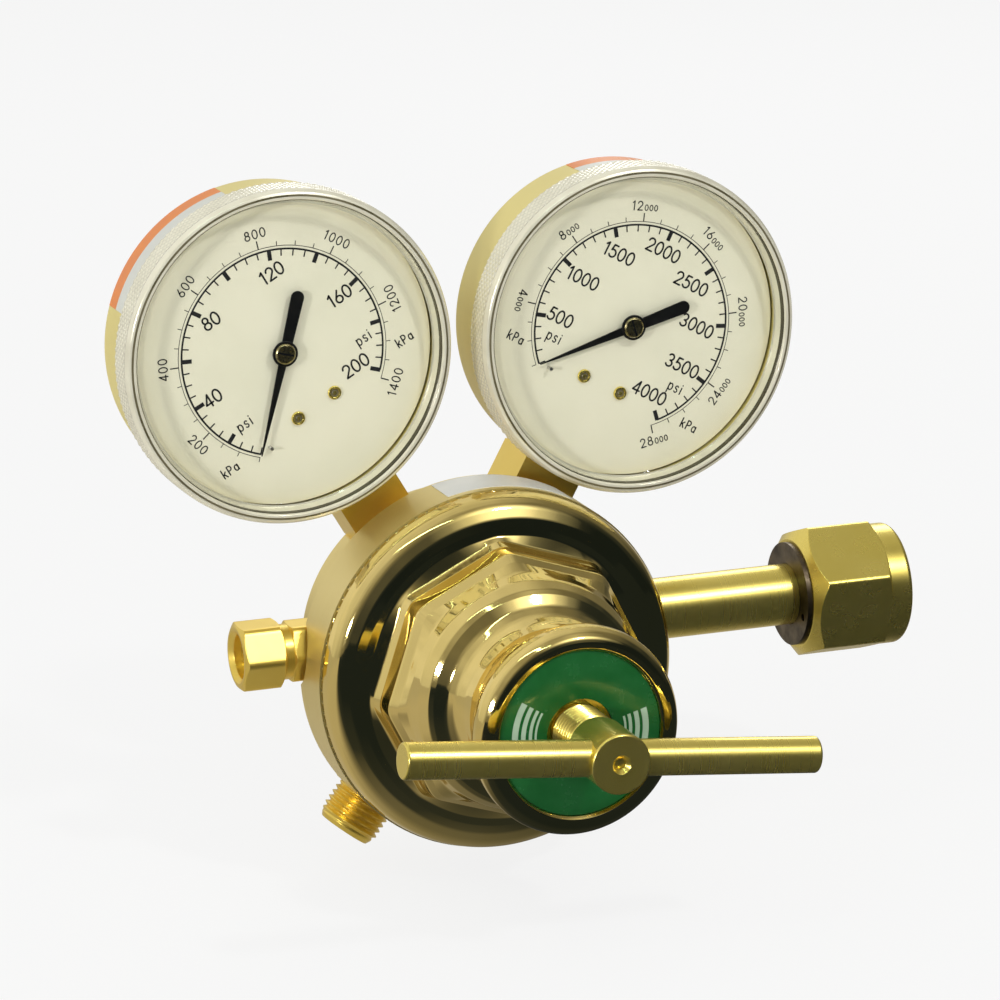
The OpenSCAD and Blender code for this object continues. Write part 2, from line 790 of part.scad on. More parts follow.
module outlet_fitting() {
  color("gold")
    main_axis()
      port(180 + outlet_angle, outlet_back)
        difference() {
          rotate_extrude()
            polygon(concat(
              [[0, outlet_in + small], [outlet_r - 1, outlet_in + small], [outlet_r - 1, boss_face],
               [outlet_r - 0.7, boss_face], [outlet_r - 0.7, outlet_low]],
              thread_outline(outlet_r, outlet_pitch, outlet_low, outlet_turns),
              [[outlet_r - 0.6, outlet_reach - 1], [outlet_r - 0.6, outlet_reach - 0.6],
               [outlet_r - 1.2, outlet_reach], [0, outlet_reach]]));
          rod(outlet_bore_r, outlet_in - 1, outlet_reach + eps);
          rotate_extrude()
            polygon([[0, outlet_reach - 2.6], [outlet_bore_r, outlet_reach - 2.6],
              [outlet_bore_r + 2.2, outlet_reach], [outlet_bore_r + 2.2, outlet_reach + eps],
              [0, outlet_reach + eps]]);
        }
}

module relief_housing() {
  color("gold")
    relief_axis()
      difference() {
        union() {
          rod(relief_root_r, relief_in + small, relief_face + eps);
          turned_hex(relief_small_af, relief_face, relief_hex_x - relief_neck_l, relief_turn, 0.4);
          rod(relief_neck_r, relief_hex_x - relief_neck_l - eps, relief_hex_x + eps);
          turned_hex(relief_af, relief_hex_x, relief_reach, relief_turn, 0.9);
        }
        rod(2, relief_in - 1, relief_seat_x + eps);
        rod(relief_bore_r, relief_seat_x, relief_reach + eps);
        rotate_extrude()
          polygon([[0, relief_reach - 1], [relief_bore_r, relief_reach - 1], [relief_bore_r + 1, relief_reach],
            [relief_bore_r + 1, relief_reach + eps], [0, relief_reach + eps]]);
      }
}

module relief_poppet() {
  color("silver")
    relief_axis() {
      rod(relief_poppet_r, relief_seat_x + small, relief_seat_x + relief_poppet_t);
      rod(relief_stem_r, relief_seat_x + relief_poppet_t, retainer_x + retainer_l - 1.2);
    }
}

module relief_spring() {
  color("lightgray")
    relief_axis()
      coil(2.6, 0.6, relief_seat_x + relief_poppet_t + small, retainer_x - small, 4);
}

module relief_retainer() {
  color("khaki")
    relief_axis()
      difference() {
        rod(relief_bore_r - thread_gap, retainer_x, retainer_x + retainer_l);
        rod(relief_stem_r + run_gap, retainer_x - eps, retainer_x + retainer_l + eps);
        for (a = [45, 135, 225, 315])
          rotate([0, 0, a])
            translate([2.9, 0, 0])
              rod(0.7, retainer_x - eps, retainer_x + retainer_l + eps);
      }
}

// gauge parts, drawn in the gauge's own frame
module socket_shape(reach) {
  foot = reach - gauge_face;
  half = socket_af / 2;
  difference() {
    union() {
      translate([-half, -foot, -half])
        cube([socket_af, foot - socket_step, socket_af]);
      // thinner inside the case, and cut down to the movement's seat under the tube
      translate([-half, -socket_step - eps, -socket_in_half])
        cube([socket_af, socket_step - socket_seat + eps, 2 * socket_in_half]);
      translate([-half, -socket_seat - eps, -socket_in_half])
        cube([socket_af, socket_seat - socket_top + eps, socket_in_half + frame_z]);
      rotate([90, 0, 0])
        rod(spigot_r - thread_gap, foot - eps, foot + spigot_l);
    }
    // slot for the bourdon tube's root
    ring(tube_r + tube_t / 2 + small, tube_r - tube_t / 2 - small, -tube_w / 2 - small, tube_w / 2 + small);
    // pressure passage
    rotate([90, 0, 0])
      rod(1.4, 21, foot + spigot_l + 1);
    // holes for the movement's two screws
    for (x = [-4.4, 4.4])
      translate([x, movement_screw_y, -2])
        cylinder(r = 0.9, h = 4);
  }
}
module case_shape() {
  difference() {
    rotate_extrude()
      polygon([[0, case_back_z], [case_r - 1.2, case_back_z], [case_r - 0.35, case_back_z + 0.35],
        [case_r, case_back_z + 1.2], [case_r, case_front_z], [case_in_r, case_front_z],
        [case_in_r, case_back_z + case_t], [0, case_back_z + case_t]]);
    translate([-socket_af / 2 - slip_gap, -case_r - 2, -socket_in_half - slip_gap / 2])
      cube([socket_af + 2 * slip_gap, 6, 2 * socket_in_half + slip_gap]);
  }
}
module tube_shape() {
  half = tube_w / 2 - tube_t / 2;
  difference() {
    union() {
      rotate([0, 0, tube_end])
        rotate_extrude(angle = tube_start - tube_end)
          translate([tube_r, 0])
            union() {
              translate([-tube_t / 2, -half])
                square([tube_t, 2 * half]);
              translate([0, -half])
                circle(d = tube_t);
              translate([0, half])
                circle(d = tube_t);
            }
      // tip block that carries the link's pin
      rotate([0, 0, tube_end])
        translate([tube_r - tube_t / 2, -3, -tube_w / 2])
          cube([tube_t, 3.4, tube_w]);
    }
    rotate([0, 0, tube_end])
      translate([tube_r, -1.6, 2])
        cylinder(r = tail_pin_r + run_gap, h = tube_w);
  }
}
// places of the link's two pins
function tail_pin() = [tail_pin_d * cos(tail_pin_angle + sector_rest),
  -gear_distance + tail_pin_d * sin(tail_pin_angle + sector_rest)];
function tip_pin() = [tube_r * cos(tube_end) + 1.6 * sin(tube_end),
  tube_r * sin(tube_end) - 1.6 * cos(tube_end)];
module link_shape() {
  a = tail_pin();
  b = tip_pin();
  length = norm(b - a);
  turn = atan2(b[1] - a[1], b[0] - a[0]);
  translate([a[0], a[1], link_z])
    rotate([0, 0, turn]) {
      cylinder(r = 1.1, h = link_t);
      translate([length, 0, 0])
        cylinder(r = 1.1, h = link_t);
      translate([0, -0.7, 0])
        cube([length, 1.4, link_t]);
      translate([0, 0, -gear_t - slip_gap])
        cylinder(r = tail_pin_r, h = gear_t + slip_gap);
      translate([length, 0, -1.6])
        cylinder(r = tail_pin_r, h = 1.6);
    }
}
// one gear tooth standing on a root circle, centred on the local x axis
module tooth(root_r, top_r, root_half, top_half) {
  polygon([[root_r - 0.3, -root_half], [top_r, -top_half], [top_r, top_half], [root_r - 0.3, root_half]]);
}
module sector_shape() {
  top_r = sector_pitch_r + 0.8 * gear_module;
  root_r = sector_pitch_r - 1.15 * gear_module;
  translate([0, -gear_distance, 0])
    rotate([0, 0, sector_rest]) {
      difference() {
        translate([0, 0, gear_z])
          linear_extrude(height = gear_t)
            union() {
              // toothed rim, arm and tail
              polygon(concat(arc(0, 0, root_r, 90 - rim_half, 90 + rim_half, 24),
                arc(0, 0, root_r - 2.2, 90 + rim_half, 90 - rim_half, 24)));
              polygon([[-2, 0], [2, 0], [4.6, root_r - 1.2], [-4.6, root_r - 1.2]]);
              circle(r = 2.6);
              rotate([0, 0, tail_pin_angle])
                translate([0, -1.4])
                  square([tail_pin_d, 2.8]);
              rotate([0, 0, tail_pin_angle])
                translate([tail_pin_d, 0])
                  circle(r = 1.4);
              for (i = [-5:5])
                rotate([0, 0, 90 + tooth_shift + i * 360 / sector_teeth])
                  tooth(root_r, top_r, 0.34, 0.15);
            }
        rotate([0, 0, tail_pin_angle])
          translate([tail_pin_d, 0, gear_z - eps])
            cylinder(r = tail_pin_r + run_gap, h = gear_t + 2 * eps);
      }
      rod(sector_arbor_r, frame_z + 0.3, gear_z + small);
      rod(sector_arbor_r, gear_z + gear_t - small, front_plate_z + front_plate_t - 0.2);
    }
}
module pinion_shape() {
  top_r = pinion_pitch_r + 0.8 * gear_module;
  root_r = pinion_pitch_r - 1.15 * gear_module;
  translate([0, 0, gear_z - 0.5])
    linear_extrude(height = gear_t + 1)
      union() {
        circle(r = root_r);
        for (i = [0:pinion_teeth - 1])
          rotate([0, 0, -90 + i * 360 / pinion_teeth])
            tooth(root_r, top_r, 0.3, 0.13);
      }
  rod(arbor_r, frame_z + 0.3, pointer_z - 0.4);
  rod(1.1, gear_z + gear_t + 0.5, gear_z + gear_t + 1.1);
}
module hairspring_shape() {
  turns = 3;
  steps = 20 * turns;
  r0 = 1.3;
  grow = 0.9;
  wire = 0.16;
  post_gap = 4.9 - 0.45 - (r0 + grow * turns - wire);
  points = [for (i = [0:steps]) let (a = 360 * turns * i / steps, r = r0 + grow * a / 360)
    [r * cos(a), r * sin(a)]];
  points_in = [for (i = [steps:-1:0]) let (a = 360 * turns * i / steps, r = r0 - wire + grow * a / 360)
    [r * cos(a), r * sin(a)]];
  translate([0, 0, gear_z + gear_t + 0.7])
    linear_extrude(height = 0.6)
      union() {
        polygon(concat(points, points_in));
        // outer end held by the movement's stud
        translate([r0 + grow * turns - wire, -0.2])
          square([post_gap - small, 0.4]);
      }
}
module movement_shape() {
  difference() {
    union() {
      // back and front plates, kept inside the bourdon tube
      intersection() {
        union() {
          translate([-6.4, -25, frame_z])
            cube([12.8, 33.2, frame_t]);
          translate([-5.4, -25, front_plate_z])
            cube([10.8, 33.2, front_plate_t]);
        }
        rod(tube_r - tube_t / 2 - tube_gap, 0, 12);
      }
      // pillars and the hairspring's stud
      translate([-4.2, -21.2, frame_z])
        cylinder(r = 1.1, h = front_plate_z - frame_z + small);
      translate([0, 6.6, frame_z])
        cylinder(r = 1.1, h = front_plate_z - frame_z + small);
      translate([4.9, 0, gear_z + gear_t + 0.4])
        cylinder(r = 0.45, h = front_plate_z - gear_z - gear_t - 0.3);
      // posts that carry the dial
      for (s = [-1, 1])
        translate([s * post_x, post_y, front_plate_z])
          cylinder(r = post_r, h = dial_back_z - front_plate_z);
      // heads of the screws that hold the movement to the socket
      for (x = [-4.4, 4.4])
        translate([x, movement_screw_y, frame_z - 2]) {
          cylinder(r = 0.85, h = 2.1);
          translate([0, 0, frame_t + 2])
            cylinder(r = 1.4, h = 0.7);
        }
    }
    translate([0, 0, frame_z - eps])
      cylinder(r = arbor_r + run_gap, h = 12);
    translate([0, -gear_distance, frame_z - eps])
      cylinder(r = sector_arbor_r + run_gap, h = 12);
    for (s = [-1, 1])
      translate([s * post_x, post_y, dial_back_z - 2])
        cylinder(r = dial_screw_r + thread_gap, h = 3);
  }
}
module dial_shape() {
  difference() {
    rod(dial_r, dial_back_z, dial_forward);
    rod(1.7, dial_back_z - eps, dial_forward + eps);
    for (s = [-1, 1])
      translate([s * post_x, post_y, 0])
        rod(dial_screw_r + thread_gap, dial_back_z - eps, dial_forward + eps);
    rotate([0, 0, stop_turn])
      translate([0, stop_r, 0])
        rod(0.4 + thread_gap, dial_back_z - eps, dial_forward + eps);
  }
}
module dial_screws_shape() {
  for (s = [-1, 1])
    translate([s * post_x, post_y, 0])
      difference() {
        union() {
          rod(dial_screw_r, dial_back_z - 1.8, dial_forward + 0.2);
          rod(1.6, dial_forward, dial_forward + 0.6);
        }
        rotate([0, 0, 25 * s])
          translate([-2, -0.2, dial_forward + 0.35])
            cube([4, 0.4, 1]);
      }
}
module stop_pin_shape() {
  rotate([0, 0, stop_turn])
    translate([0, stop_r, 0])
      rod(0.4, dial_back_z, pointer_z + 0.6);
}
module pointer_shape() {
  rotate([0, 0, pointer_zero])
    difference() {
      union() {
        translate([0, 0, pointer_z])
          linear_extrude(height = pointer_t)
            union() {
              polygon([[-1.05, 0], [1.05, 0], [0.14, pointer_tip], [-0.14, pointer_tip]]);
              polygon([[-1.3, 0], [1.3, 0], [1.5, -pointer_tail + 1.6], [-1.5, -pointer_tail + 1.6]]);
              translate([0, -pointer_tail + 1.5])
                circle(r = 1.52);
            }
        rod(1.5, dial_forward + 0.35, pointer_z + small);
        rod(2.35, pointer_z + pointer_t - small, pointer_z + 1);
      }
      rod(arbor_r + thread_gap, dial_forward, pointer_z - 0.4 + small);
      translate([-1.6, -0.25, pointer_z + 0.7])
        cube([3.2, 0.5, 1]);
    }
}
module lens_shape() {
  inner = case_r + run_gap;
  rotate_extrude()
    polygon([[inner, lens_back_z], [lens_r - 0.4, lens_back_z], [lens_r, lens_back_z + 0.4],
      [lens_r, lens_front_z - 1.3], [lens_r - 0.4, lens_front_z - 0.5], [lens_r - 1.2, lens_front_z],
      [window_r + 0.5, lens_front_z], [window_r, lens_front_z - 0.4], [window_r - 0.5, window_front_z],
      [0, window_front_z], [0, window_back_z], [case_in_r - 1.2, window_back_z],
      [case_in_r - 0.6, case_front_z + slip_gap], [inner, case_front_z + slip_gap]]);
}
module sticker_shape() {
  rotate([0, 0, 75])
    rotate_extrude(angle = 58)
      polygon([[case_r, case_back_z + 1.3], [case_r + sticker_t, case_back_z + 1.3],
        [case_r + sticker_t, lens_back_z - 0.2], [case_r, lens_back_z - 0.2]]);
}

module low_socket() {
  color("goldenrod") low_frame() socket_shape(low_reach);
}
module low_case() {
  color("khaki") low_frame() case_shape();
}
module low_tube() {
  color("peru") low_frame() tube_shape();
}
module low_link() {
  color("silver") low_frame() link_shape();
}
module low_sector() {
  color("gold") low_frame() sector_shape();
}
module low_pinion() {
  color("gold") low_frame() pinion_shape();
}
module low_hairspring() {
  color("silver") low_frame() hairspring_shape();
}
module low_movement() {
  color("khaki") low_frame() movement_shape();
}
module low_dial() {
  color("white") low_frame() dial_shape();
}
module low_dial_screws() {
  color("gold") low_frame() dial_screws_shape();
}
module low_stop_pin() {
  color("silver") low_frame() stop_pin_shape();
}
module low_pointer() {
  color("black") low_frame() pointer_shape();
}
module low_lens() {
  color("lightblue", 0.3) low_frame() lens_shape();
}
module low_sticker() {
  color("orange") low_frame() sticker_shape();
}
module high_socket() {
  color("goldenrod") high_frame() socket_shape(high_reach);
}
module high_case() {
  color("khaki") high_frame() case_shape();
}
module high_tube() {
  color("peru") high_frame() tube_shape();
}
module high_link() {
  color("silver") high_frame() link_shape();
}
module high_sector() {
  color("gold") high_frame() sector_shape();
}
module high_pinion() {
  color("gold") high_frame() pinion_shape();
}
module high_hairspring() {
  color("silver") high_frame() hairspring_shape();
}
module high_movement() {
  color("khaki") high_frame() movement_shape();
}
module high_dial() {
  color("white") high_frame() dial_shape();
}
module high_dial_screws() {
  color("gold") high_frame() dial_screws_shape();
}
module high_stop_pin() {
  color("silver") high_frame() stop_pin_shape();
}
module high_pointer() {
  color("black") high_frame() pointer_shape();
}
module high_lens() {
  color("lightblue", 0.3) high_frame() lens_shape();
}
module high_sticker() {
  color("orange") high_frame() sticker_shape();
}

regulator_body();
valve_nozzle();
valve_plug();
valve_poppet();
valve_spring();
diaphragm();
pusher();
diaphragm_plate();
slip_ring();
bonnet_spring();
spring_button();
bonnet();
adjusting_screw();
t_bar();
bonnet_label();
body_label();
inlet_nipple();
inlet_filter();
nut_washer();
inlet_nut();
outlet_fitting();
relief_housing();
relief_poppet();
relief_spring();
relief_retainer();
low_socket();
low_case();
low_tube();
low_link();
low_sector();
low_pinion();
low_hairspring();
low_movement();
low_dial();
low_dial_screws();
low_stop_pin();
low_pointer();
low_lens();
low_sticker();
high_socket();
high_case();
high_tube();
high_link();
high_sector();
high_pinion();
high_hairspring();
high_movement();
high_dial();
high_dial_screws();
high_stop_pin();
high_pointer();
high_lens();
high_sticker();
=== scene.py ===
"""Looks of the single-stage oxygen regulator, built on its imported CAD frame.

Lengths are in mm, and are turned to metres when a mesh is made.
"""

import math

import bmesh
import bpy
import numpy as np
from mathutils import Matrix, Vector


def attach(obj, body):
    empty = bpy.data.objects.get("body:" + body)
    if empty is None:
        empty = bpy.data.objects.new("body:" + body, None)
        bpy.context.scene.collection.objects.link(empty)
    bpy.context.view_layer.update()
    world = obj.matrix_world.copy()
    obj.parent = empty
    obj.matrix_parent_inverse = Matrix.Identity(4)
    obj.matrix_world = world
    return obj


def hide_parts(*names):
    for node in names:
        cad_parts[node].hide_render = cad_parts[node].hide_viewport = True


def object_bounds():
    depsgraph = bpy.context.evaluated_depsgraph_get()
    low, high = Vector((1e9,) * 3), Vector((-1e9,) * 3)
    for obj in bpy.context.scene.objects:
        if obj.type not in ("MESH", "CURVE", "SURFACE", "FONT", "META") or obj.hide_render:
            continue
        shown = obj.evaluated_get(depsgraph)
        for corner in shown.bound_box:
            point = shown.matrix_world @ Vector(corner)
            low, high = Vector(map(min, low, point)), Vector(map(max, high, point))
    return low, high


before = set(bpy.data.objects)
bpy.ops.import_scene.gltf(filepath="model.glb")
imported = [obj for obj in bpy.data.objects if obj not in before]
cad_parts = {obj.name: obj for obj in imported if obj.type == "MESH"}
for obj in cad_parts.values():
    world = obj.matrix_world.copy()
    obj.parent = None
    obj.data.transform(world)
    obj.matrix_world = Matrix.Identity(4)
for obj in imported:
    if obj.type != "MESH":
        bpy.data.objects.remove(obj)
cad_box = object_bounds()
MM = 0.001
PI = math.pi

# the regulator's own axes, as in the CAD source: the main axis stands this far from the part's origin
REACH, BACK, RISE = 108.9, 9.75, 1.37
# each gauge: its turn from straight up in degrees, and its distance from the main axis
LOW = (-30.42, 84.68)
HIGH = (28.87, 81.75)
# outlet port: its turn in degrees, and how far it sits behind the main axis's zero
OUTLET_TURN, OUTLET_BACK = 180 + 37.3, 2.0
# relief valve's axis above the main axis
RELIEF_RISE = 4.42
# T-bar: its tilt at rest in degrees, and its height along the main axis
BAR_TILT, BAR_FORWARD = 6.1, 87.6


# frames: each takes local points in mm and gives the part's points in mm

def f_main(p):
    """Main axis: local z points to the front, with zero where the CAD source has it."""
    return np.stack([p[:, 0] - REACH, -p[:, 2] - BACK, p[:, 1] - RISE], 1)


def turn_z(p, deg):
    """Points turned about the local z axis."""
    c, s = math.cos(math.radians(deg)), math.sin(math.radians(deg))
    return np.stack([p[:, 0] * c - p[:, 1] * s, p[:, 0] * s + p[:, 1] * c, p[:, 2]], 1)


def f_gauge(turn, reach):
    """A gauge's axis: local z points to the front, local y away from the body."""
    def f(p):
        q = turn_z(p + np.array([0, reach, 0]), -turn)
        return f_main(q + np.array([0, 0, -BACK]))
    return f


def f_port(turn, back):
    """A port in the body's side: local z points outwards."""
    def f(p):
        q = turn_z(np.stack([p[:, 0], p[:, 2], -p[:, 1]], 1), -turn)
        return f_main(q + np.array([0, 0, -back]))
    return f


def f_inlet(p):
    """Inlet's axis: local z points from the main axis to the cylinder."""
    return np.stack([p[:, 2] - REACH, p[:, 1], -p[:, 0]], 1)


def f_relief(p):
    """Relief valve's axis: local z points outwards, away from the inlet."""
    return f_main(np.stack([-p[:, 2], p[:, 1] + RELIEF_RISE, p[:, 0]], 1))


def f_bar(p):
    """T-bar's axis: local z points along the bar to the inlet's side, local y upwards."""
    c, s = math.cos(math.radians(BAR_TILT)), math.sin(math.radians(BAR_TILT))
    q = np.stack([p[:, 1] * s + p[:, 2] * c, p[:, 1] * c - p[:, 2] * s, -p[:, 0]], 1)
    return f_main(q + np.array([0, 0, BAR_FORWARD]))


# mesh making

def make(name, verts, faces, place, mat, body, replaces=(), slot=None, smooth=True, sharp=38):
    """Object from local points: placed by its frame, smoothed up to an angle, and riding its body."""
    pts = place(np.asarray(verts, float)) * MM
    mesh = bpy.data.meshes.new(name)
    mesh.from_pydata([tuple(map(float, v)) for v in pts], [], faces)
    mesh.update()
    obj = bpy.data.objects.new(name, mesh)
    bpy.context.scene.collection.objects.link(obj)
    clean(mesh)
    if smooth:
        mesh.shade_smooth()
        mesh.set_sharp_from_angle(angle=math.radians(sharp))
    mesh.materials.append(mat)
    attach(obj, body)
    if replaces:
        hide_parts(*replaces)
    return obj


def clean(mesh):
    """Points that coincide become one, and all faces look outwards."""
    bm = bmesh.new()
    bm.from_mesh(mesh)
    bmesh.ops.remove_doubles(bm, verts=bm.verts, dist=2e-7)
    bmesh.ops.recalc_face_normals(bm, faces=bm.faces)
    bm.to_mesh(mesh)
    bm.free()


def fillet(points, radii, n=5):
    """Open outline with each inner corner rounded by its radius."""
    out = [points[0]]
    for i in range(1, len(points) - 1):
        p0, p1, p2 = (np.array(points[j], float) for j in (i - 1, i, i + 1))
        r = radii[i] if isinstance(radii, (list, tuple)) else radii
        a, b = p0 - p1, p2 - p1
        la, lb = np.linalg.norm(a), np.linalg.norm(b)
        if r <= 0 or la < 1e-6 or lb < 1e-6:
            out.append(tuple(p1))
            continue
        a, b = a / la, b / lb
        ang = math.acos(max(-1, min(1, float(a @ b))))
        if ang > PI - 0.02:
            # nearly straight: the same number of points, so outlines of one sheet stay alike
            out += [tuple(p1 + (a if k < 0 else b) * abs(k) * 0.01) for k in range(-1, n + 2)]
            continue
        t = min(r / math.tan(ang / 2), la * 0.49, lb * 0.49)
        r = t * math.tan(ang / 2)
        c = p1 + (a + b) / np.linalg.norm(a + b) * (r / math.sin(ang / 2))
        s, e = p1 + a * t, p1 + b * t
        a0 = math.atan2(*(s - c)[::-1])
        a1 = math.atan2(*(e - c)[::-1])
        d = (a1 - a0 + PI) % (2 * PI) - PI
        out.append(tuple(s + a * min(0.12, (la - t) * 0.3)))
        for k in range(n + 1):
            q = a0 + d * k / n
            out.append((c[0] + r * math.cos(q), c[1] + r * math.sin(q)))
        out.append(tuple(e + b * min(0.12, (lb - t) * 0.3)))
    out.append(points[-1])
    return out


def grid(rings):
    """Verts and faces of a sheet whose rows are closed rings of equal length."""
    cols = len(rings[0])
    verts = [v for ring in rings for v in ring]
    faces = []
    for i in range(len(rings) - 1):
        for j in range(cols):
            k = (j + 1) % cols
            faces.append((i * cols + j, i * cols + k, (i + 1) * cols + k, (i + 1) * cols + j))
    return verts, faces


def circle(r, z, n):
    """Ring of n points about the local z axis."""
    return [(r * math.cos(2 * PI * j / n), r * math.sin(2 * PI * j / n), z) for j in range(n)]


def lathe(profile, n=192):
    """Outline of (radius, height) turned about the local z axis."""
    return grid([circle(r, z, n) for r, z in profile])


def join(*parts):
    """One mesh of several, each given as verts and faces."""
    verts, faces = [], []
    for v, f in parts:
        o = len(verts)
        verts += list(v)
        faces += [tuple(i + o for i in q) for q in f]
    return verts, faces


def columns(fn, n):
    """Sheet whose column at each angle is the (r, z) outline that fn gives for it."""
    angles = [2 * PI * j / n for j in range(n)]
    outlines = [fn(a) for a in angles]
    rings = []
    for row in zip(*outlines):
        rings.append([(r * math.cos(a), r * math.sin(a), z) for (r, z), a in zip(row, angles)])
    return grid(rings)


def poly_radius(af, sides, turn):
    """Distance from the axis to the side of a regular polygon, a corner standing at the turn."""
    def f(a):
        step = 2 * PI / sides
        t = (a - math.radians(turn)) % step - step / 2
        return af / 2 / math.cos(t)
    return f


def soft_min(a, b, k):
    """Lesser of two lengths, rounded over k where they meet."""
    h = max(0.0, min(1.0, 0.5 + 0.5 * (b - a) / k))
    return b * (1 - h) + a * h - k * h * (1 - h)


# materials

def node_mat(name):
    """Empty material with a Principled BSDF on its output."""
    m = bpy.data.materials.new(name)
    m.use_nodes = True
    nt = m.node_tree
    for n in list(nt.nodes):
        nt.nodes.remove(n)
    out = nt.nodes.new("ShaderNodeOutputMaterial")
    bsdf = nt.nodes.new("ShaderNodeBsdfPrincipled")
    nt.links.new(bsdf.outputs[0], out.inputs[0])
    return m, nt, bsdf, out


def noise_of(nt, scale, detail=3.0, rough=0.55, stretch=(1, 1, 1)):
    """Noise fixed to the object, finer as the scale rises."""
    tc = nt.nodes.new("ShaderNodeTexCoord")
    mp = nt.nodes.new("ShaderNodeMapping")
    mp.inputs["Scale"].default_value = stretch
    nt.links.new(tc.outputs["Object"], mp.inputs[0])
    no = nt.nodes.new("ShaderNodeTexNoise")
    no.inputs["Scale"].default_value = scale
    no.inputs["Detail"].default_value = detail
    no.inputs["Roughness"].default_value = rough
    nt.links.new(mp.outputs[0], no.inputs["Vector"])
    return no.outputs["Fac"]


def ramp(nt, src, stops):
    """Colour ramp from stops of (position, colour)."""
    r = nt.nodes.new("ShaderNodeValToRGB")
    el = r.color_ramp.elements
    while len(el) < len(stops):
        el.new(0.5)
    for e, (p, c) in zip(el, stops):
        e.position = p
        e.color = (*c, 1)
    nt.links.new(src, r.inputs[0])
    return r.outputs[0]


def map_range(nt, src, lo, hi, a=0.0, b=1.0):
    """Value from a to b mapped to lo to hi, and held at both ends."""
    m = nt.nodes.new("ShaderNodeMapRange")
    m.inputs["From Min"].default_value = a
    m.inputs["From Max"].default_value = b
    m.inputs["To Min"].default_value = lo
    m.inputs["To Max"].default_value = hi
    nt.links.new(src, m.inputs["Value"])
    return m.outputs[0]


def light_path(nt, *names):
    """One where any of the named kinds of ray looks, else zero."""
    lp = nt.nodes.new("ShaderNodeLightPath")
    src = lp.outputs[names[0]]
    for name in names[1:]:
        top = nt.nodes.new("ShaderNodeMath")
        top.operation = "MAXIMUM"
        nt.links.new(src, top.inputs[0])
        nt.links.new(lp.outputs[name], top.inputs[1])
        src = top.outputs[0]
    return src


def mix_shader(nt, factor, a, b):
    """Shader a at factor zero, shader b at one."""
    m = nt.nodes.new("ShaderNodeMixShader")
    if isinstance(factor, float):
        m.inputs[0].default_value = factor
    else:
        nt.links.new(factor, m.inputs[0])
    nt.links.new(a, m.inputs[1])
    nt.links.new(b, m.inputs[2])
    return m.outputs[0]


def bump_of(nt, height, strength, distance, normal=None):
    """Bump from a height, on top of another bump's normal where one is given."""
    bp = nt.nodes.new("ShaderNodeBump")
    bp.inputs["Strength"].default_value = strength
    bp.inputs["Distance"].default_value = distance
    nt.links.new(height, bp.inputs["Height"])
    if normal:
        nt.links.new(normal, bp.inputs["Normal"])
    return bp.outputs[0]


# depths of the fine tool lines and of the soft dents, in metres
LINE_DEPTH, DENT_DEPTH, COAT_DEPTH = 0.00005, 0.0004, 0.0002
STRETCH = {None: (1, 1, 1), "x": (1, 0.02, 0.02), "y": (0.02, 1, 0.02)}


def metal(name, dark, light, rough, spread, lines=None, line_scale=900, line_bump=0.15, bump=0.05, blotch=120,
          metallic=1.0):
    """Metal whose colour and roughness vary softly, with fine tool lines across the given axis."""
    m, nt, b, _ = node_mat(name)
    n1 = noise_of(nt, blotch, 4)
    nt.links.new(ramp(nt, n1, [(0.3, dark), (0.7, light)]), b.inputs["Base Color"])
    b.inputs["Metallic"].default_value = metallic
    n2 = noise_of(nt, line_scale, 2, 0.6, STRETCH[lines])
    nt.links.new(map_range(nt, n2, rough - spread, rough + spread, 0.25, 0.75), b.inputs["Roughness"])
    fine = bump_of(nt, n2, line_bump, LINE_DEPTH)
    nt.links.new(bump_of(nt, n1, bump, DENT_DEPTH, fine), b.inputs["Normal"])
    return m


def add_rings(m, strength, spacing):
    """Turned rings about the main axis, pressed into a metal's bump."""
    nt = m.node_tree
    b = nt.nodes["Principled BSDF"]
    tc = nt.nodes.new("ShaderNodeTexCoord")
    mp = nt.nodes.new("ShaderNodeMapping")
    mp.inputs["Location"].default_value = (REACH * MM, 0, RISE * MM)
    wave = nt.nodes.new("ShaderNodeTexWave")
    wave.wave_type = "RINGS"
    wave.rings_direction = "Y"
    # a wave texture repeats every 0.05 * 2 pi at scale one
    wave.inputs["Scale"].default_value = 0.05 / (spacing * MM) * 2 * PI
    wave.inputs["Distortion"].default_value = 0.0
    nt.links.new(tc.outputs["Object"], mp.inputs[0])
    nt.links.new(mp.outputs[0], wave.inputs[0])
    below = b.inputs["Normal"].links[0].from_socket
    nt.links.new(bump_of(nt, wave.outputs["Fac"], strength, LINE_DEPTH, below), b.inputs["Normal"])


def coat(name, dark, light, rough, blotch=300, bump=0.05, metallic=0.0, clear=0.0):
    """Paint, print or plastic whose colour and roughness vary softly."""
    m, nt, b, _ = node_mat(name)
    n1 = noise_of(nt, blotch, 4)
    nt.links.new(ramp(nt, n1, [(0.3, dark), (0.7, light)]), b.inputs["Base Color"])
    b.inputs["Metallic"].default_value = metallic
    b.inputs["Coat Weight"].default_value = clear
    b.inputs["Coat Roughness"].default_value = 0.08
    nt.links.new(map_range(nt, n1, rough - 0.05, rough + 0.05, 0.3, 0.7), b.inputs["Roughness"])
    nt.links.new(bump_of(nt, n1, bump, COAT_DEPTH), b.inputs["Normal"])
    return m


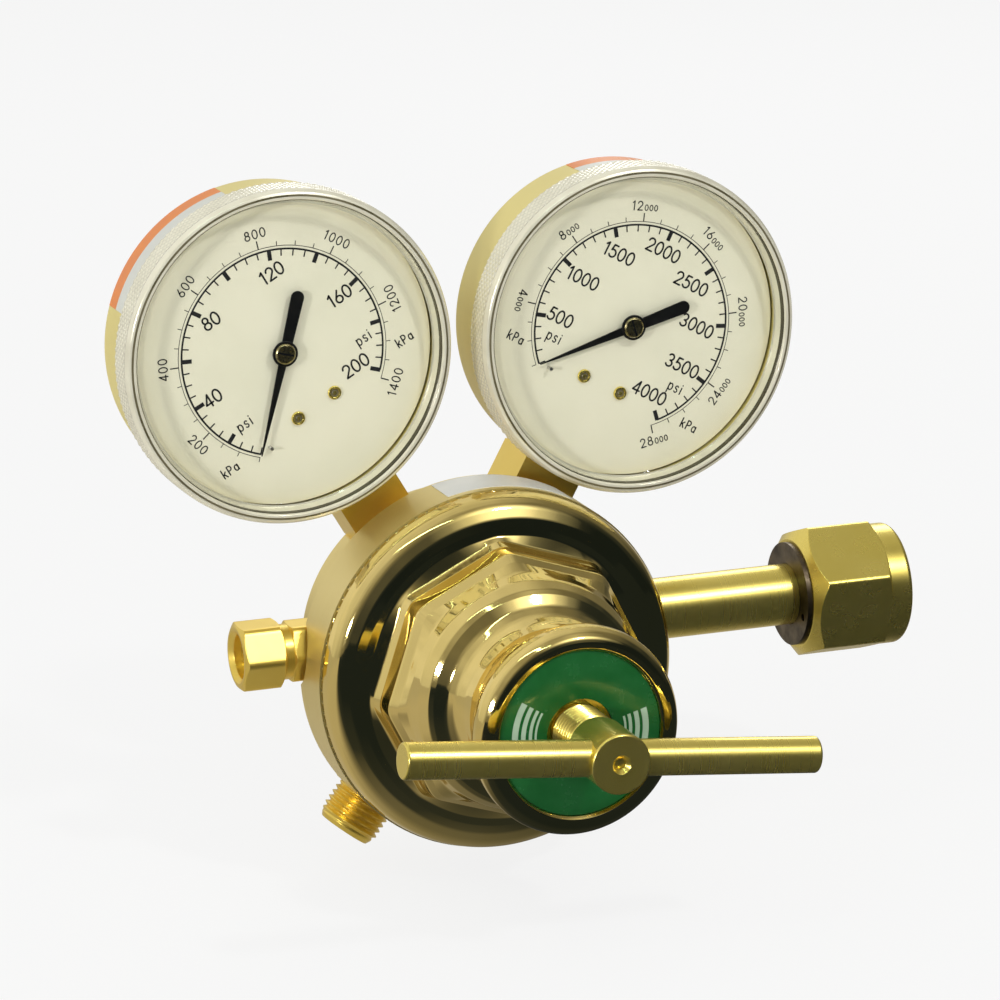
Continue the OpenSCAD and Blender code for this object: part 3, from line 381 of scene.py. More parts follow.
BRASS = ((0.84, 0.67, 0.15), (0.90, 0.73, 0.20))
mat_polished = metal("polished_brass", (0.86, 0.67, 0.24), (0.91, 0.72, 0.29), 0.065, 0.025,
                     line_bump=0.035, bump=0.04, blotch=45)
mat_band = metal("band_brass", (0.79, 0.64, 0.25), (0.83, 0.68, 0.29), 0.36, 0.03, "y", 2500,
                 line_bump=0.04, bump=0.02, blotch=50, metallic=0.85)
mat_machined = metal("machined_brass", *BRASS, 0.27, 0.012, None, 260,
                     line_bump=0.003, bump=0.003, blotch=60, metallic=0.94)
mat_fitting = metal("fitting_brass", (0.85, 0.62, 0.12), (0.90, 0.67, 0.16), 0.32, 0.015, None, 260,
                    line_bump=0.003, bump=0.003, blotch=60, metallic=0.90)
mat_turned_x = metal("turned_brass_x", *BRASS, 0.28, 0.012, "x", 2200,
                     line_bump=0.010, bump=0.003, blotch=60, metallic=0.92)
mat_hub_face = metal("turned_hub", *BRASS, 0.25, 0.012, None, 260,
                     line_bump=0.0, bump=0.003, blotch=60, metallic=0.92)
add_rings(mat_hub_face, 0.10, 1.15)
mat_steel = metal("steel", (0.52, 0.52, 0.53), (0.66, 0.66, 0.67), 0.3, 0.05)
mat_spring = metal("spring_steel", (0.30, 0.30, 0.32), (0.46, 0.46, 0.48), 0.35, 0.06)
mat_dark_steel = metal("dark_steel", (0.06, 0.045, 0.03), (0.20, 0.16, 0.11), 0.42, 0.08, None, 700,
                       line_bump=0.1, bump=0.1, blotch=220)
mat_bronze = metal("bronze", (0.50, 0.33, 0.17), (0.66, 0.46, 0.26), 0.35, 0.06)
mat_filter = metal("bronze_filter", (0.30, 0.2, 0.12), (0.6, 0.42, 0.25), 0.6, 0.1, None, 2500,
                   line_bump=0.9, bump=0.1, blotch=1800)
mat_hub = metal("hub_brass", (0.30, 0.25, 0.12), (0.55, 0.47, 0.25), 0.3, 0.06, None, 2500,
                line_bump=0.3, bump=0.1, blotch=1500)
mat_rubber = coat("black_rubber", (0.015, 0.015, 0.015), (0.03, 0.03, 0.03), 0.6)
mat_gold = coat("gold_paint", (0.74, 0.62, 0.22), (0.77, 0.65, 0.24), 0.38, 90, 0.03, metallic=0.15, clear=0.05)
mat_dial = coat("dial_white", (0.80, 0.763, 0.61), (0.825, 0.787, 0.635), 0.5, 120, 0.02)
mat_print = coat("dial_print", (0.012, 0.012, 0.014), (0.02, 0.02, 0.022), 0.55)
mat_pointer = coat("pointer_black", (0.003, 0.003, 0.003), (0.006, 0.006, 0.006), 0.4)
mat_green = coat("green_label", (0.008, 0.100, 0.020), (0.012, 0.125, 0.028), 0.25, 200, 0.03, clear=0.4)
mat_green_print = coat("label_print", (0.36, 0.50, 0.36), (0.43, 0.57, 0.43), 0.35, 200, 0.02)
mat_white_label = coat("white_label", (0.70, 0.70, 0.68), (0.76, 0.76, 0.74), 0.35, 150, 0.03, clear=0.2)
# painted shade and painted reflection: a dark tone for thin sheets laid in the dial screws' wells (painted shade)
# and on the lens ring's front bevel (painted dark reflection)
mat_painted_shade_and_reflection = coat("painted_shade_and_reflection", (0.11, 0.095, 0.05), (0.22, 0.19, 0.11), 0.3, 90, 0.03, metallic=0.3)
mat_line = coat("ring_line", (0.035, 0.03, 0.014), (0.08, 0.07, 0.035), 0.25, 90, 0.03, metallic=0.3)


def plastic_ring():
    """Clear moulded plastic over gold: pale, glossy, a little see-through."""
    m, nt, b, out = node_mat("clear_plastic_ring")
    n1 = noise_of(nt, 160, 4)
    nt.links.new(ramp(nt, n1, [(0.3, (0.72, 0.68, 0.54)), (0.7, (0.83, 0.79, 0.64))]), b.inputs["Base Color"])
    b.inputs["Metallic"].default_value = 0.25
    nt.links.new(map_range(nt, n1, 0.16, 0.26, 0.3, 0.7), b.inputs["Roughness"])
    b.inputs["Coat Weight"].default_value = 0.8
    b.inputs["Coat Roughness"].default_value = 0.05
    # clear plastic lets most of the light through, so the shadow it throws on the dial is faint
    shade = nt.nodes.new("ShaderNodeBsdfTransparent")
    shade.inputs[0].default_value = (0.80, 0.80, 0.75, 1)
    nt.links.new(mix_shader(nt, light_path(nt, "Is Shadow Ray"), b.outputs[0], shade.outputs[0]), out.inputs[0])
    return m


def window_mat():
    """Clear window: what lies behind shows through, with a plastic's gloss on top."""
    m, nt, b, out = node_mat("clear_window")
    nt.nodes.remove(b)
    n1 = noise_of(nt, 60, 3)
    clear = nt.nodes.new("ShaderNodeBsdfTransparent")
    nt.links.new(ramp(nt, n1, [(0.3, (0.95, 0.96, 0.94)), (0.7, (0.98, 0.985, 0.97))]), clear.inputs[0])
    gloss = nt.nodes.new("ShaderNodeBsdfGlossy")
    nt.links.new(map_range(nt, n1, 0.02, 0.05, 0.3, 0.7), gloss.inputs["Roughness"])
    # the same sheen from both sides, stronger at a low angle
    lean = nt.nodes.new("ShaderNodeLayerWeight")
    lean.inputs["Blend"].default_value = 0.5
    rise = nt.nodes.new("ShaderNodeMath")
    rise.operation = "POWER"
    rise.inputs[1].default_value = 4.0
    nt.links.new(lean.outputs["Facing"], rise.inputs[0])
    sheen = map_range(nt, rise.outputs[0], 0.035, 0.9)
    both = mix_shader(nt, sheen, clear.outputs[0], gloss.outputs[0])
    nt.links.new(mix_shader(nt, light_path(nt, "Is Shadow Ray"), both, clear.outputs[0]), out.inputs[0])
    return m


# where the sticker's two halves meet, in metres along the part's y axis
STICKER_SPLIT = 0.0013


def sticker_mat():
    """Paper label in two halves: orange at the back, white at the front."""
    m, nt, b, _ = node_mat("orange_label")
    tc = nt.nodes.new("ShaderNodeTexCoord")
    sx = nt.nodes.new("ShaderNodeSeparateXYZ")
    nt.links.new(tc.outputs["Object"], sx.inputs[0])
    y = map_range(nt, sx.outputs[1], 0.0, 1.0, STICKER_SPLIT - 0.00002, STICKER_SPLIT + 0.00002)
    n1 = noise_of(nt, 300, 3)
    orange = ramp(nt, n1, [(0.3, (0.74, 0.20, 0.03)), (0.7, (0.80, 0.25, 0.045))])
    mx = nt.nodes.new("ShaderNodeMix")
    mx.data_type = "RGBA"
    nt.links.new(y, mx.inputs[0])
    mx.inputs[6].default_value = (0.66, 0.66, 0.61, 1)
    nt.links.new(orange, mx.inputs[7])
    nt.links.new(mx.outputs[2], b.inputs["Base Color"])
    nt.links.new(map_range(nt, n1, 0.3, 0.42, 0.3, 0.7), b.inputs["Roughness"])
    return m


mat_ring = plastic_ring()
mat_window = window_mat()
mat_sticker = sticker_mat()

# what each CAD node wears where no piece stands in for it
by_node = {
    "regulator_body": mat_band, "valve_nozzle": mat_machined, "valve_plug": mat_machined,
    "valve_poppet": mat_steel, "valve_spring": mat_spring, "diaphragm": mat_rubber, "pusher": mat_machined,
    "diaphragm_plate": mat_steel, "slip_ring": mat_steel, "bonnet_spring": mat_spring,
    "spring_button": mat_steel, "bonnet": mat_polished, "adjusting_screw": mat_machined, "t_bar": mat_turned_x,
    "bonnet_label": mat_green, "body_label": mat_white_label, "inlet_nipple": mat_turned_x,
    "inlet_filter": mat_filter, "nut_washer": mat_dark_steel, "inlet_nut": mat_machined,
    "outlet_fitting": mat_fitting, "relief_housing": mat_fitting, "relief_poppet": mat_steel,
    "relief_spring": mat_spring, "relief_retainer": mat_machined}
by_gauge_node = {
    "socket": mat_fitting, "case": mat_gold, "tube": mat_bronze, "link": mat_steel, "sector": mat_machined,
    "pinion": mat_machined, "hairspring": mat_spring, "movement": mat_machined, "dial": mat_dial,
    "dial_screws": mat_machined, "stop_pin": mat_steel, "pointer": mat_pointer, "lens": mat_ring,
    "sticker": mat_sticker}
for gauge_name in ("low", "high"):
    by_node.update({gauge_name + "_" + node: mat for node, mat in by_gauge_node.items()})
for name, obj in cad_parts.items():
    obj.data.materials.clear()
    obj.data.materials.append(by_node[name])


# bonnet: turned and polished, with an octagonal step

OCTAGON_AF, OCTAGON_TURN, OCTAGON_CORNER = 58.0, 90 + 4, 31.0


def bonnet_piece():
    octagon = poly_radius(OCTAGON_AF, 8, OCTAGON_TURN)

    def column(a):
        ro = soft_min(octagon(a), OCTAGON_CORNER, 0.5)
        # rounded rim and dish, octagonal step, dome, neck, and the lip round the label
        pts = [(41.05, 17.25), (41.1, 18.4), (40.6, 20.6), (39.0, 22.6), (36.4, 23.9), (34.3, 24.4), (32.6, 24.65),
               (ro + 0.9, 25.6), (ro, 27.4), (ro - 0.3, 32.3), (ro - 1.7, 34.2), (26.9 + (ro - 29) * 0.2, 36.5),
               (26.3, 39.4), (24.9, 41.8), (23.9, 42.7), (21.6, 44.2), (20.0, 46.0), (19.0, 48.4), (18.5, 51.0),
               (18.4, 54.0), (18.6, 56.6), (19.3, 58.8), (20.9, 60.7), (22.3, 62.4), (23.1, 64.2), (23.3, 65.8),
               (23.2, 67.2), (22.5, 68.7), (21.3, 69.8), (20.1, 70.2), (18.9, 70.1), (18.4, 69.5), (18.35, 69.2)]
        radii = [0, 1, 4, 4, 3, 2, 1.2,
                 0.8, 0.9, 1.3, 1.2, 3,
                 3, 1.5, 1.2, 4, 4, 6, 6,
                 8, 6, 6, 5, 4, 3, 3,
                 2.5, 2.5, 2, 1.5, 0.7, 0.4, 0]
        return fillet(pts, radii, 4)
    outside = columns(column, 384)
    inside = lathe([(41.05, 17.25), (36.0, 17.25), (35.9, 9.6), (27.0, 9.6), (27.0, 20.0), (24.0, 24.0),
                    (15.0, 36.0), (15.0, 50.5), (6.4, 50.5), (6.4, 68.6), (18.35, 68.6), (18.35, 69.2)], 96)
    make("bonnet_shell", *join(outside, inside), f_main, mat_polished, "base", ("bonnet",), "polished_brass",
         sharp=50)


bonnet_piece()


# label disc with four plain curved bars at each side

# the label's bars: radius and width of each, and the angles they span about the disc's own sides
LABEL_BARS = ((15.0, 1.4), (13.1, 1.05), (11.5, 0.75), (10.3, 0.5))
BARS_FROM, BARS_TO = -32.5, 15.5
LABEL_TOP = 69.22


def ribbon(points, width, z, cap=True, n=8):
    """Flat strip along a path, with round ends."""
    p = np.array(points, float)
    verts, faces = [], []
    m = len(p)
    for i in range(m):
        a = p[i] - p[max(i - 1, 0)]
        b = p[min(i + 1, m - 1)] - p[i]
        a = a if np.linalg.norm(a) > 1e-9 else b
        b = b if np.linalg.norm(b) > 1e-9 else a
        a, b = a / np.linalg.norm(a), b / np.linalg.norm(b)
        t = a + b
        t = t / (np.linalg.norm(t) + 1e-9)
        nrm = np.array([-t[1], t[0]])
        k = width / 2 / max(0.5, math.sqrt(max(0.0, (1 + float(a @ b)) / 2)))
        verts += [(*(p[i] + nrm * k), z), (*(p[i] - nrm * k), z)]
    for i in range(m - 1):
        faces.append((2 * i, 2 * i + 1, 2 * i + 3, 2 * i + 2))
    if cap:
        for end, other in ((0, 1), (m - 1, m - 2)):
            d = p[end] - p[other]
            d = d / np.linalg.norm(d)
            a0 = math.atan2(d[1], d[0]) - PI / 2
            o = len(verts)
            for k in range(n + 1):
                q = a0 + PI * k / n
                verts.append((p[end][0] + width / 2 * math.cos(q), p[end][1] + width / 2 * math.sin(q), z))
            faces.append(tuple(range(o, o + n + 1)))
    return verts, faces


def arc_pts(cx, cy, rx, ry, a0, a1, n=14):
    """Points of an ellipse's arc between two angles in degrees."""
    turns = [math.radians(a0 + (a1 - a0) * i / n) for i in range(n + 1)]
    return [(cx + rx * math.cos(t), cy + ry * math.sin(t)) for t in turns]


def label_piece():
    disc = lathe([(7.65, 68.65), (18.25, 68.65), (18.25, 69.15), (18.1, LABEL_TOP), (7.8, LABEL_TOP),
                  (7.65, 69.15), (7.65, 68.65)], 160)
    make("bonnet_label_disc", *disc, f_main, mat_green, "base", ("bonnet_label",), "green_label")
    bars = [ribbon(arc_pts(0, 0, r, r, side + BARS_FROM, side + BARS_TO, 30), width, LABEL_TOP + 0.05, cap=False)
            for side in (0, 180) for r, width in LABEL_BARS]
    make("bonnet_label_print", *join(*bars), f_main, mat_green_print, "base", slot="green_label", smooth=False)


label_piece()


# adjusting screw with its hub, and the bar through it

# pitches of the threads, and how deep each is cut
SCREW_PITCH, NUT_PITCH, OUTLET_PITCH = 1.27, 1.814, 1.411
SCREW_CUT, NUT_CUT, OUTLET_CUT = 0.75, 0.75, 0.82
BAR_R, BAR_HALF = 3.97, 47.0


def thread(r, cut, pitch, z0, z1, n=96, steps=10):
    """Sheet of a single-start right-hand thread between two heights, with r its largest radius."""
    rows = int((z1 - z0) / pitch * steps)
    rings = []
    for i in range(rows + 1):
        z = z0 + (z1 - z0) * i / rows
        # the thread runs out into a plain root over its first and last turn
        fade = max(0.0, min(1.0, (z - z0) / pitch, (z1 - z) / pitch))
        ring = []
        for j in range(n):
            a = 2 * PI * j / n
            saw = (z / pitch - a / (2 * PI)) % 1.0
            flank = min(1.0, max(0.0, (abs(saw * 2 - 1) - 0.12) / 0.76))
            rr = r - cut * (1 - flank) * fade - cut * (1 - fade) * 0.8
            ring.append((rr * math.cos(a), rr * math.sin(a), z))
        rings.append(ring)
    return grid(rings)


def screw_piece():
    tip = lathe(fillet([(0, 44.82), (2.4, 44.82), (3, 45.2), (3, 48.5), (5.6, 49.5), (5.6, 56)], 0.2, 2), 96)
    rod = thread(6.35, SCREW_CUT, SCREW_PITCH, 56, 78.0)
    # the hub ends in a centre-drilled face
    hub = lathe(fillet([(5.7, 78.0), (6.3, 78.4), (6.3, 79.3), (6.62, 80.0), (6.62, 93.07), (2.1, 93.07),
                        (1.2, 92.1), (1.2, 90.0), (0, 89.4)], [0, .1, .1, .3, .55, .12, .05, .1, 0], 4), 128)
    make("screw_hub", *join(tip, rod, hub), f_main, mat_hub_face, "screw", ("adjusting_screw",), "machined_brass",
         sharp=50)


def bar_piece():
    outline = fillet([(0, -BAR_HALF), (BAR_R, -BAR_HALF), (BAR_R, BAR_HALF), (0, BAR_HALF)],
                     [0, 0.55, 0.55, 0], 5)
    make("bar", *lathe(outline, 96), f_bar, mat_turned_x, "screw", ("t_bar",), "machined_brass")


screw_piece()
bar_piece()


# inlet: nipple, nut

# inlet nut: size across its flats, turn, length, and the length of its round end
NUT_AF, NUT_TURN, NUT_LENGTH, NUT_NOSE = 28.575, 90 - 20.6, 24.9, 5.4
# the nipple's shoulder bears on the nut's inner step, this far in from its back
SHOULDER_IN = 5.3 + 0.1


def hex_nut(af, turn, z0, z1, lead0, lead1, rise0, rise1, inner, n=360, edge=0.18):
    """Hexagonal nut: flats cut by a turned cone at each end, then the given inner outline."""
    flat = poly_radius(af, 6, turn)
    corner = af / 2 / math.cos(PI / 6) - 0.25

    def column(a):
        r = soft_min(flat(a), corner, 0.25)
        za = z0 + max(0.0, (r - lead0)) * rise0
        zb = z1 - max(0.0, (r - lead1)) * rise1
        pts = [inner[0], (min(lead0, r - 0.01), z0), (r, za + 0.002), (r, zb - 0.002), (min(lead1, r - 0.01), z1),
               inner[1]]
        return fillet(pts, [0, 0.35, edge, edge, 0.35, 0], 3)
    return columns(column, n)


def nut_piece():
    back, front = REACH - NUT_LENGTH, REACH
    hex_end = front - NUT_NOSE
    outer = hex_nut(NUT_AF, NUT_TURN, back, hex_end, 12.7, 14.25, 0.78, 0.62, ((7.3, back), (14.2, hex_end)))
    nose = lathe(fillet([(14.2, hex_end - 0.01), (14.2, front), (11.6, front), (11.5, front - 0.4),
                         (11.5, front - 2.3)], [0, 1.1, 0.25, 0.1, 0], 6), 192)
    bore = thread(11.55, NUT_CUT, NUT_PITCH, back + 5.4, front - 2.3, 128)
    step = lathe([(11.0, back + 5.4), (7.3, back + 5.3), (7.3, back)], 96)
    make("nut_shell", *join(outer, nose, bore, step), f_inlet, mat_machined, "nut", ("inlet_nut",),
         "machined_brass", sharp=30)


def nipple_piece():
    s = REACH - NUT_LENGTH + SHOULDER_IN
    outline = fillet([(6.1, 29.1), (6.14, 40.5), (7.14, 40.55), (7.14, s), (10.4, s), (10.4, s + 3.3),
                      (8.3, s + 5.5), (8.3, 99.9), (7.4, 102.2), (5.6, 103.4), (3.7, 103.6), (3.6, 103.2),
                      (3.6, 94.0), (0, 94.0)],
                     [0, 0, 0.25, 0.1, 0.4, 0.4, 0.4, 0.6, 1.2, 0.9, 0.3, 0.1, 0, 0], 4)
    make("nipple_shell", *lathe(outline, 144), f_inlet, mat_turned_x, "base", ("inlet_nipple",), "machined_brass")


nut_piece()
nipple_piece()


# outlet: male thread with a conical seat

def outlet_piece():
    root = lathe([(6.1, 30.1), (6.1, 40.3)], 96)
    male = thread(7.14, OUTLET_CUT, OUTLET_PITCH, 40.3, 48.9, 128)
    seat = lathe(fillet([(6.5, 48.9), (5.95, 49.9), (4.9, 49.9), (2.75, 47.3), (2.75, 30)],
                        [0, 0.2, 0.15, 0.1, 0], 4), 128)
    make("outlet_shell", *join(root, male, seat), f_port(OUTLET_TURN, OUTLET_BACK), mat_fitting, "base",
         ("outlet_fitting",), "machined_brass", sharp=50)


outlet_piece()


# relief valve housing

RELIEF_TURN, RELIEF_SEAT, RELIEF_END = -2, 33.9, 55.2
RELIEF_AF, RELIEF_SMALL_AF = 14.3, 12.7


def relief_piece():
    big = hex_nut(RELIEF_AF, RELIEF_TURN, 45.3, RELIEF_END, 6.5, 6.6, 0.55, 0.5,
                  ((6.2, 45.3), (6.0, RELIEF_END)), 240, 0.12)
    small = hex_nut(RELIEF_SMALL_AF, RELIEF_TURN, RELIEF_SEAT, 43.5, 6.1, 6.1, 0.5, 0.5,
                    ((4.8, RELIEF_SEAT), (6.2, 43.5)), 240, 0.12)
    groove = lathe([(6.25, 43.4), (6.25, 45.4)], 96)
    bore = lathe(fillet([(6.0, RELIEF_END), (5.0, 54.2), (5.0, 42.5), (2.0, 42.5), (2.0, 27.5), (4.8, 27.5),
                         (4.8, RELIEF_SEAT)], [0, 0.15, 0.1, 0, 0, 0, 0], 2), 96)
    make("relief_shell", *join(big, small, groove, bore), f_relief, mat_fitting, "base", ("relief_housing",),
         "machined_brass", sharp=30)


relief_piece()


# plain numerals and unit signs, one unit high: each sign's width, then its strokes

A = arc_pts  # a short name, for the table only
GLYPHS = {
    "0": (0.62, [A(0.31, 0.5, 0.27, 0.47, 0, 360, 28)]),
    "1": (0.36, [[(0.04, 0.80), (0.22, 0.97)], [(0.22, 0.97), (0.22, 0.02)]]),
    "2": (0.60, [A(0.29, 0.70, 0.25, 0.27, 170, -28, 14) + [(0.04, 0.03)], [(0.04, 0.03), (0.56, 0.03)]]),
    "3": (0.58, [A(0.27, 0.735, 0.22, 0.235, 150, -90, 14), A(0.27, 0.265, 0.25, 0.235, 90, -155, 16)]),
    "4": (0.62, [[(0.44, 0.02), (0.44, 0.97)], [(0.44, 0.97), (0.03, 0.26)], [(0.03, 0.26), (0.60, 0.26)]]),
    "5": (0.58, [[(0.50, 0.96), (0.18, 0.96)], [(0.18, 0.96), (0.11, 0.55)],
                 A(0.26, 0.32, 0.27, 0.29, 122, -150, 18)]),
    "6": (0.60, [[(0.42, 0.97), (0.09, 0.44)], A(0.30, 0.29, 0.26, 0.26, 0, 360, 24)]),
    "8": (0.60, [A(0.30, 0.74, 0.20, 0.22, 0, 360, 22), A(0.30, 0.28, 0.26, 0.25, 0, 360, 24)]),
    "p": (0.52, [[(0.07, 0.66), (0.07, -0.28)], A(0.27, 0.34, 0.20, 0.31, 180, -180, 22)]),
    "s": (0.40, [A(0.20, 0.50, 0.14, 0.15, 30, 270, 10), A(0.18, 0.18, 0.15, 0.16, 90, -150, 12)]),
    "i": (0.20, [[(0.09, 0.64), (0.09, 0.02)], [(0.09, 0.88), (0.09, 0.90)]]),
    "k": (0.48, [[(0.07, 1.0), (0.07, 0.02)], [(0.42, 0.64), (0.07, 0.30)], [(0.20, 0.42), (0.44, 0.02)]]),
    "P": (0.54, [[(0.07, 0.02), (0.07, 0.96)], [(0.07, 0.96), (0.26, 0.96)],
                 A(0.26, 0.71, 0.22, 0.25, 90, -90, 12), [(0.26, 0.46), (0.07, 0.46)]]),
    "a": (0.54, [A(0.25, 0.32, 0.20, 0.30, 0, 360, 22), [(0.45, 0.62), (0.45, 0.02)]]),
}
# on the high gauge's outer scale the last three figures are drawn at this share of the height
SMALL = 0.64


def sign_sizes(text, height, small_from):
    """Height of each sign, smaller from the given one on."""
    return [height * (SMALL if small_from is not None and i >= small_from else 1.0) for i in range(len(text))]


def text_width(text, height, gap, small_from=None):
    """Width of a text whose gap is given as a share of the height."""
    sizes = sign_sizes(text, height, small_from)
    return sum((GLYPHS[c][0] + gap) * k for c, k in zip(text, sizes)) - gap * sizes[-1]


def words(text, x, y, height, width, turn=0.0, z=0.0, gap=0.13, small_from=None):
    """Strokes of a text centred on a point of the dial, turned by an angle in degrees."""
    cx = -text_width(text, height, gap, small_from) / 2
    ca, sa = math.cos(math.radians(turn)), math.sin(math.radians(turn))
    parts = []
    for c, k in zip(text, sign_sizes(text, height, small_from)):
        advance, strokes = GLYPHS[c]
        for stroke in strokes:
            pts = [(cx + px * k, py * k - height / 2) for px, py in stroke]
            pts = [(x + px * ca - py * sa, y + px * sa + py * ca) for px, py in pts]
            parts.append(ribbon(pts, width * (k / height) ** 0.5, z, n=6))
        cx += (advance + gap) * k
    return parts


def polar(r, deg):
    """Point of the dial at an angle measured clockwise from straight up."""
    return r * math.sin(math.radians(deg)), r * math.cos(math.radians(deg))


def tick(r0, r1, deg, w, z):
    """Straight mark from one radius to another."""
    return ribbon([polar(r0, deg), polar(r1, deg)], w, z, cap=False)


def arc_band(r, w, d0, d1, z, n=160):
    """Arc between two angles of the dial."""
    return ribbon([polar(r, d0 + (d1 - d0) * i / n) for i in range(n + 1)], w, z, cap=False)


# inner scale in psi: value at the arc's end, degrees a unit, first tick, spacing of the small and large ticks
SCALES = {"low": (200.0, 1.395, 10.0, 5.0, 20.0), "high": (4000.0, 0.0693, 200.0, 100.0, 500.0)}
# outer scale in kPa: spacing of the small ticks and of the large ones, and the last value
OUTER = {"low": (50.0, 200.0, 1400.0), "high": (1000.0, 4000.0, 28000.0)}
NUMERAL_STEP = {"low": 40, "high": 500}
PSI_KPA = 6.894757
# radii of the two scales' arcs, and where they begin and end in degrees from straight up
SCALE_R, OUTER_R, ZERO, END = 23.2, 23.95, -135.4, 135.4
# length of the inner scale's small ticks, and the radii that the outer scale's small and large ones end at
INNER_TICK, OUTER_TICK, OUTER_LARGE = 1.55, 25.0, 25.9
# inner numerals stand inside this circle, and outer numerals on this one
NUMERAL_REACH, OUTER_NUMERAL_R = 20.8, 27.5
PRINT_Z = 10.69


def scale_angle(g, psi):
    full, step = SCALES[g][:2]
    return END - (full - psi) * step


def is_multiple(v, step):
    return abs(v / step - round(v / step)) < 1e-6


def dial_ticks(g, z):
    full, step, first, minor, major = SCALES[g]
    outer_minor, outer_major, outer_last = OUTER[g]
    parts = [arc_band(SCALE_R, 0.42, ZERO, END, z),
             arc_band(OUTER_R, 0.14, ZERO, scale_angle(g, outer_last / PSI_KPA), z)]
    # ticks stand a hair above the arcs
    top = z + 0.004
    for v in np.arange(first, full + 0.5 * minor, minor):
        large = is_multiple(v, major)
        parts.append(tick(SCALE_R - (2.3 if large else INNER_TICK), SCALE_R + 0.1, scale_angle(g, v),
                          0.95 if large else 0.3, top))
    parts.append(tick(SCALE_R - INNER_TICK, SCALE_R + 0.1, ZERO, 0.3, top))
    parts.append(tick(OUTER_R, OUTER_TICK, ZERO, 0.17, top))
    for v in np.arange(2 * outer_minor, outer_last + 0.5 * outer_minor, outer_minor):
        large = is_multiple(v, outer_major)
        parts.append(tick(OUTER_R, OUTER_LARGE if large else OUTER_TICK, scale_angle(g, v / PSI_KPA),
                          0.27 if large else 0.17, top))
    return parts


def inner_numerals(g, z):
    """Upright numerals on the ray of their tick, pushed out until a corner meets the inner circle."""
    size = 3.05
    parts = []
    for v in range(NUMERAL_STEP[g], int(SCALES[g][0]) + 1, NUMERAL_STEP[g]):
        deg = scale_angle(g, v)
        text = str(v)
        half_w, half_h = text_width(text, size, 0.13) / 2, size / 2
        dx, dy = abs(math.sin(math.radians(deg))), abs(math.cos(math.radians(deg)))
        r = NUMERAL_REACH
        while math.hypot(r * dx + half_w, r * dy + half_h) > NUMERAL_REACH:
            r -= 0.05
        parts += words(text, *polar(r, deg), size, 0.42, 0, z)
    return parts


def outer_numerals(g, z):
    """Numerals along the outer circle, turned to be read from below."""
    major, last = OUTER[g][1:]
    parts = []
    for v in np.arange(major, last + 1, major):
        deg = scale_angle(g, v / PSI_KPA)
        text = str(int(v))
        turn = -deg + (0 if -90 < deg < 90 else 180)
        small_from = len(text) - 3 if g == "high" else None
        parts += words(text, *polar(OUTER_NUMERAL_R, deg), 2.1, 0.27, turn, z, 0.24, small_from)
    return parts


# each unit sign with the place of its centre on the dial
UNIT_PLACES = {"low": (("psi", -15.7, -8.4), ("psi", 16.9, -8.0), ("kPa", -23.9, -15.4), ("kPa", 24.6, -13.9)),
               "high": (("psi", -15.8, -9.6), ("psi", 16.8, -8.0), ("kPa", -24.2, -13.4), ("kPa", 24.1, -14.6))}
UNIT_SIZES = {"psi": 2.45, "kPa": 2.15}


def dial_print(g, place):
    z = PRINT_Z
    parts = dial_ticks(g, z) + inner_numerals(g, z) + outer_numerals(g, z)
    for text, x, y in UNIT_PLACES[g]:
        parts += words(text, x, y, UNIT_SIZES[text], 0.3, 0, z, 0.2)
    make(g + "_dial_print", *join(*parts), place, mat_print, "base", slot="pointer_black", smooth=False)


# gauges

# knurled skirt of the lens ring: radius over the crests, depth, teeth, and its two ends
KNURL_R, KNURL_CUT, KNURL_TEETH, KNURL_FROM, KNURL_TO = 37.58, 0.34, 135, 8.1, 14.7
# height over which a groove moves on by one tooth
KNURL_LEAD = 1.7
# points round the ring, eight to a tooth
RING_POINTS = 8 * KNURL_TEETH


def knurl_ring(z):
    """Crossed helical grooves, cut at one height."""
    w = (z - KNURL_FROM) / KNURL_LEAD
    ring = []
    for j in range(RING_POINTS):
        a = 2 * PI * j / RING_POINTS
        u = a * KNURL_TEETH / (2 * PI)
        d = min(abs((u + w) % 1 - 0.5), abs((u - w) % 1 - 0.5)) * 2
        r = KNURL_R - KNURL_CUT * (1 - d) ** 1.3
        ring.append((r * math.cos(a), r * math.sin(a), z))
    return ring


def lens_pieces(g, place):
    rings = [circle(r, z, RING_POINTS) for r, z in ((35.76, 7.66), (37.1, 7.66), (37.35, 7.9))]
    rings += [knurl_ring(z) for z in np.linspace(KNURL_FROM, KNURL_TO, 40)]
    rim = fillet([(37.45, 14.85), (37.5, 15.6), (36.9, 16.7), (35.9, 17.12), (35.35, 17.1), (35.1, 16.6)],
                 [0, 0.5, 0.7, 0.5, 0.2, 0], 4)
    rings += [circle(r, z, RING_POINTS) for r, z in rim]
    back = lathe([(35.76, 7.66), (35.76, 12.85), (34.4, 12.85), (33.9, 13.3)], 128)
    inner = lathe([(35.1, 16.6), (34.95, 15.3), (34.3, 13.3), (33.9, 13.3)], 128)
    make(g + "_lens_ring", *join(grid(rings), back, inner), place, mat_ring, "base", (g + "_lens",),
         "clear_plastic", sharp=60)
    # painted dark reflection: a thin dark band laid on the ring's front bevel
    groove = lathe([(36.35, 17.03), (36.2, 17.075), (36.0, 17.12), (35.9, 17.135)], 256)
    make(g + "_lens_groove", *groove, place, mat_painted_shade_and_reflection, "base", slot="pointer_black")
    # dark line where the window meets the ring
    seal = lathe([(34.85, 15.2), (34.95, 16.45), (35.3, 16.75), (35.45, 16.5), (35.3, 15.2)], 192)
    make(g + "_lens_line", *seal, place, mat_line, "base", slot="pointer_black")
    window = lathe(fillet([(0, 15.15), (32.9, 15.15), (33.7, 15.75), (34.6, 15.9), (34.8, 15.2)],
                          [0, 0.8, 0.5, 0.3, 0], 5), 192)
    make(g + "_window", *window, place, mat_window, "base", slot="clear_plastic")


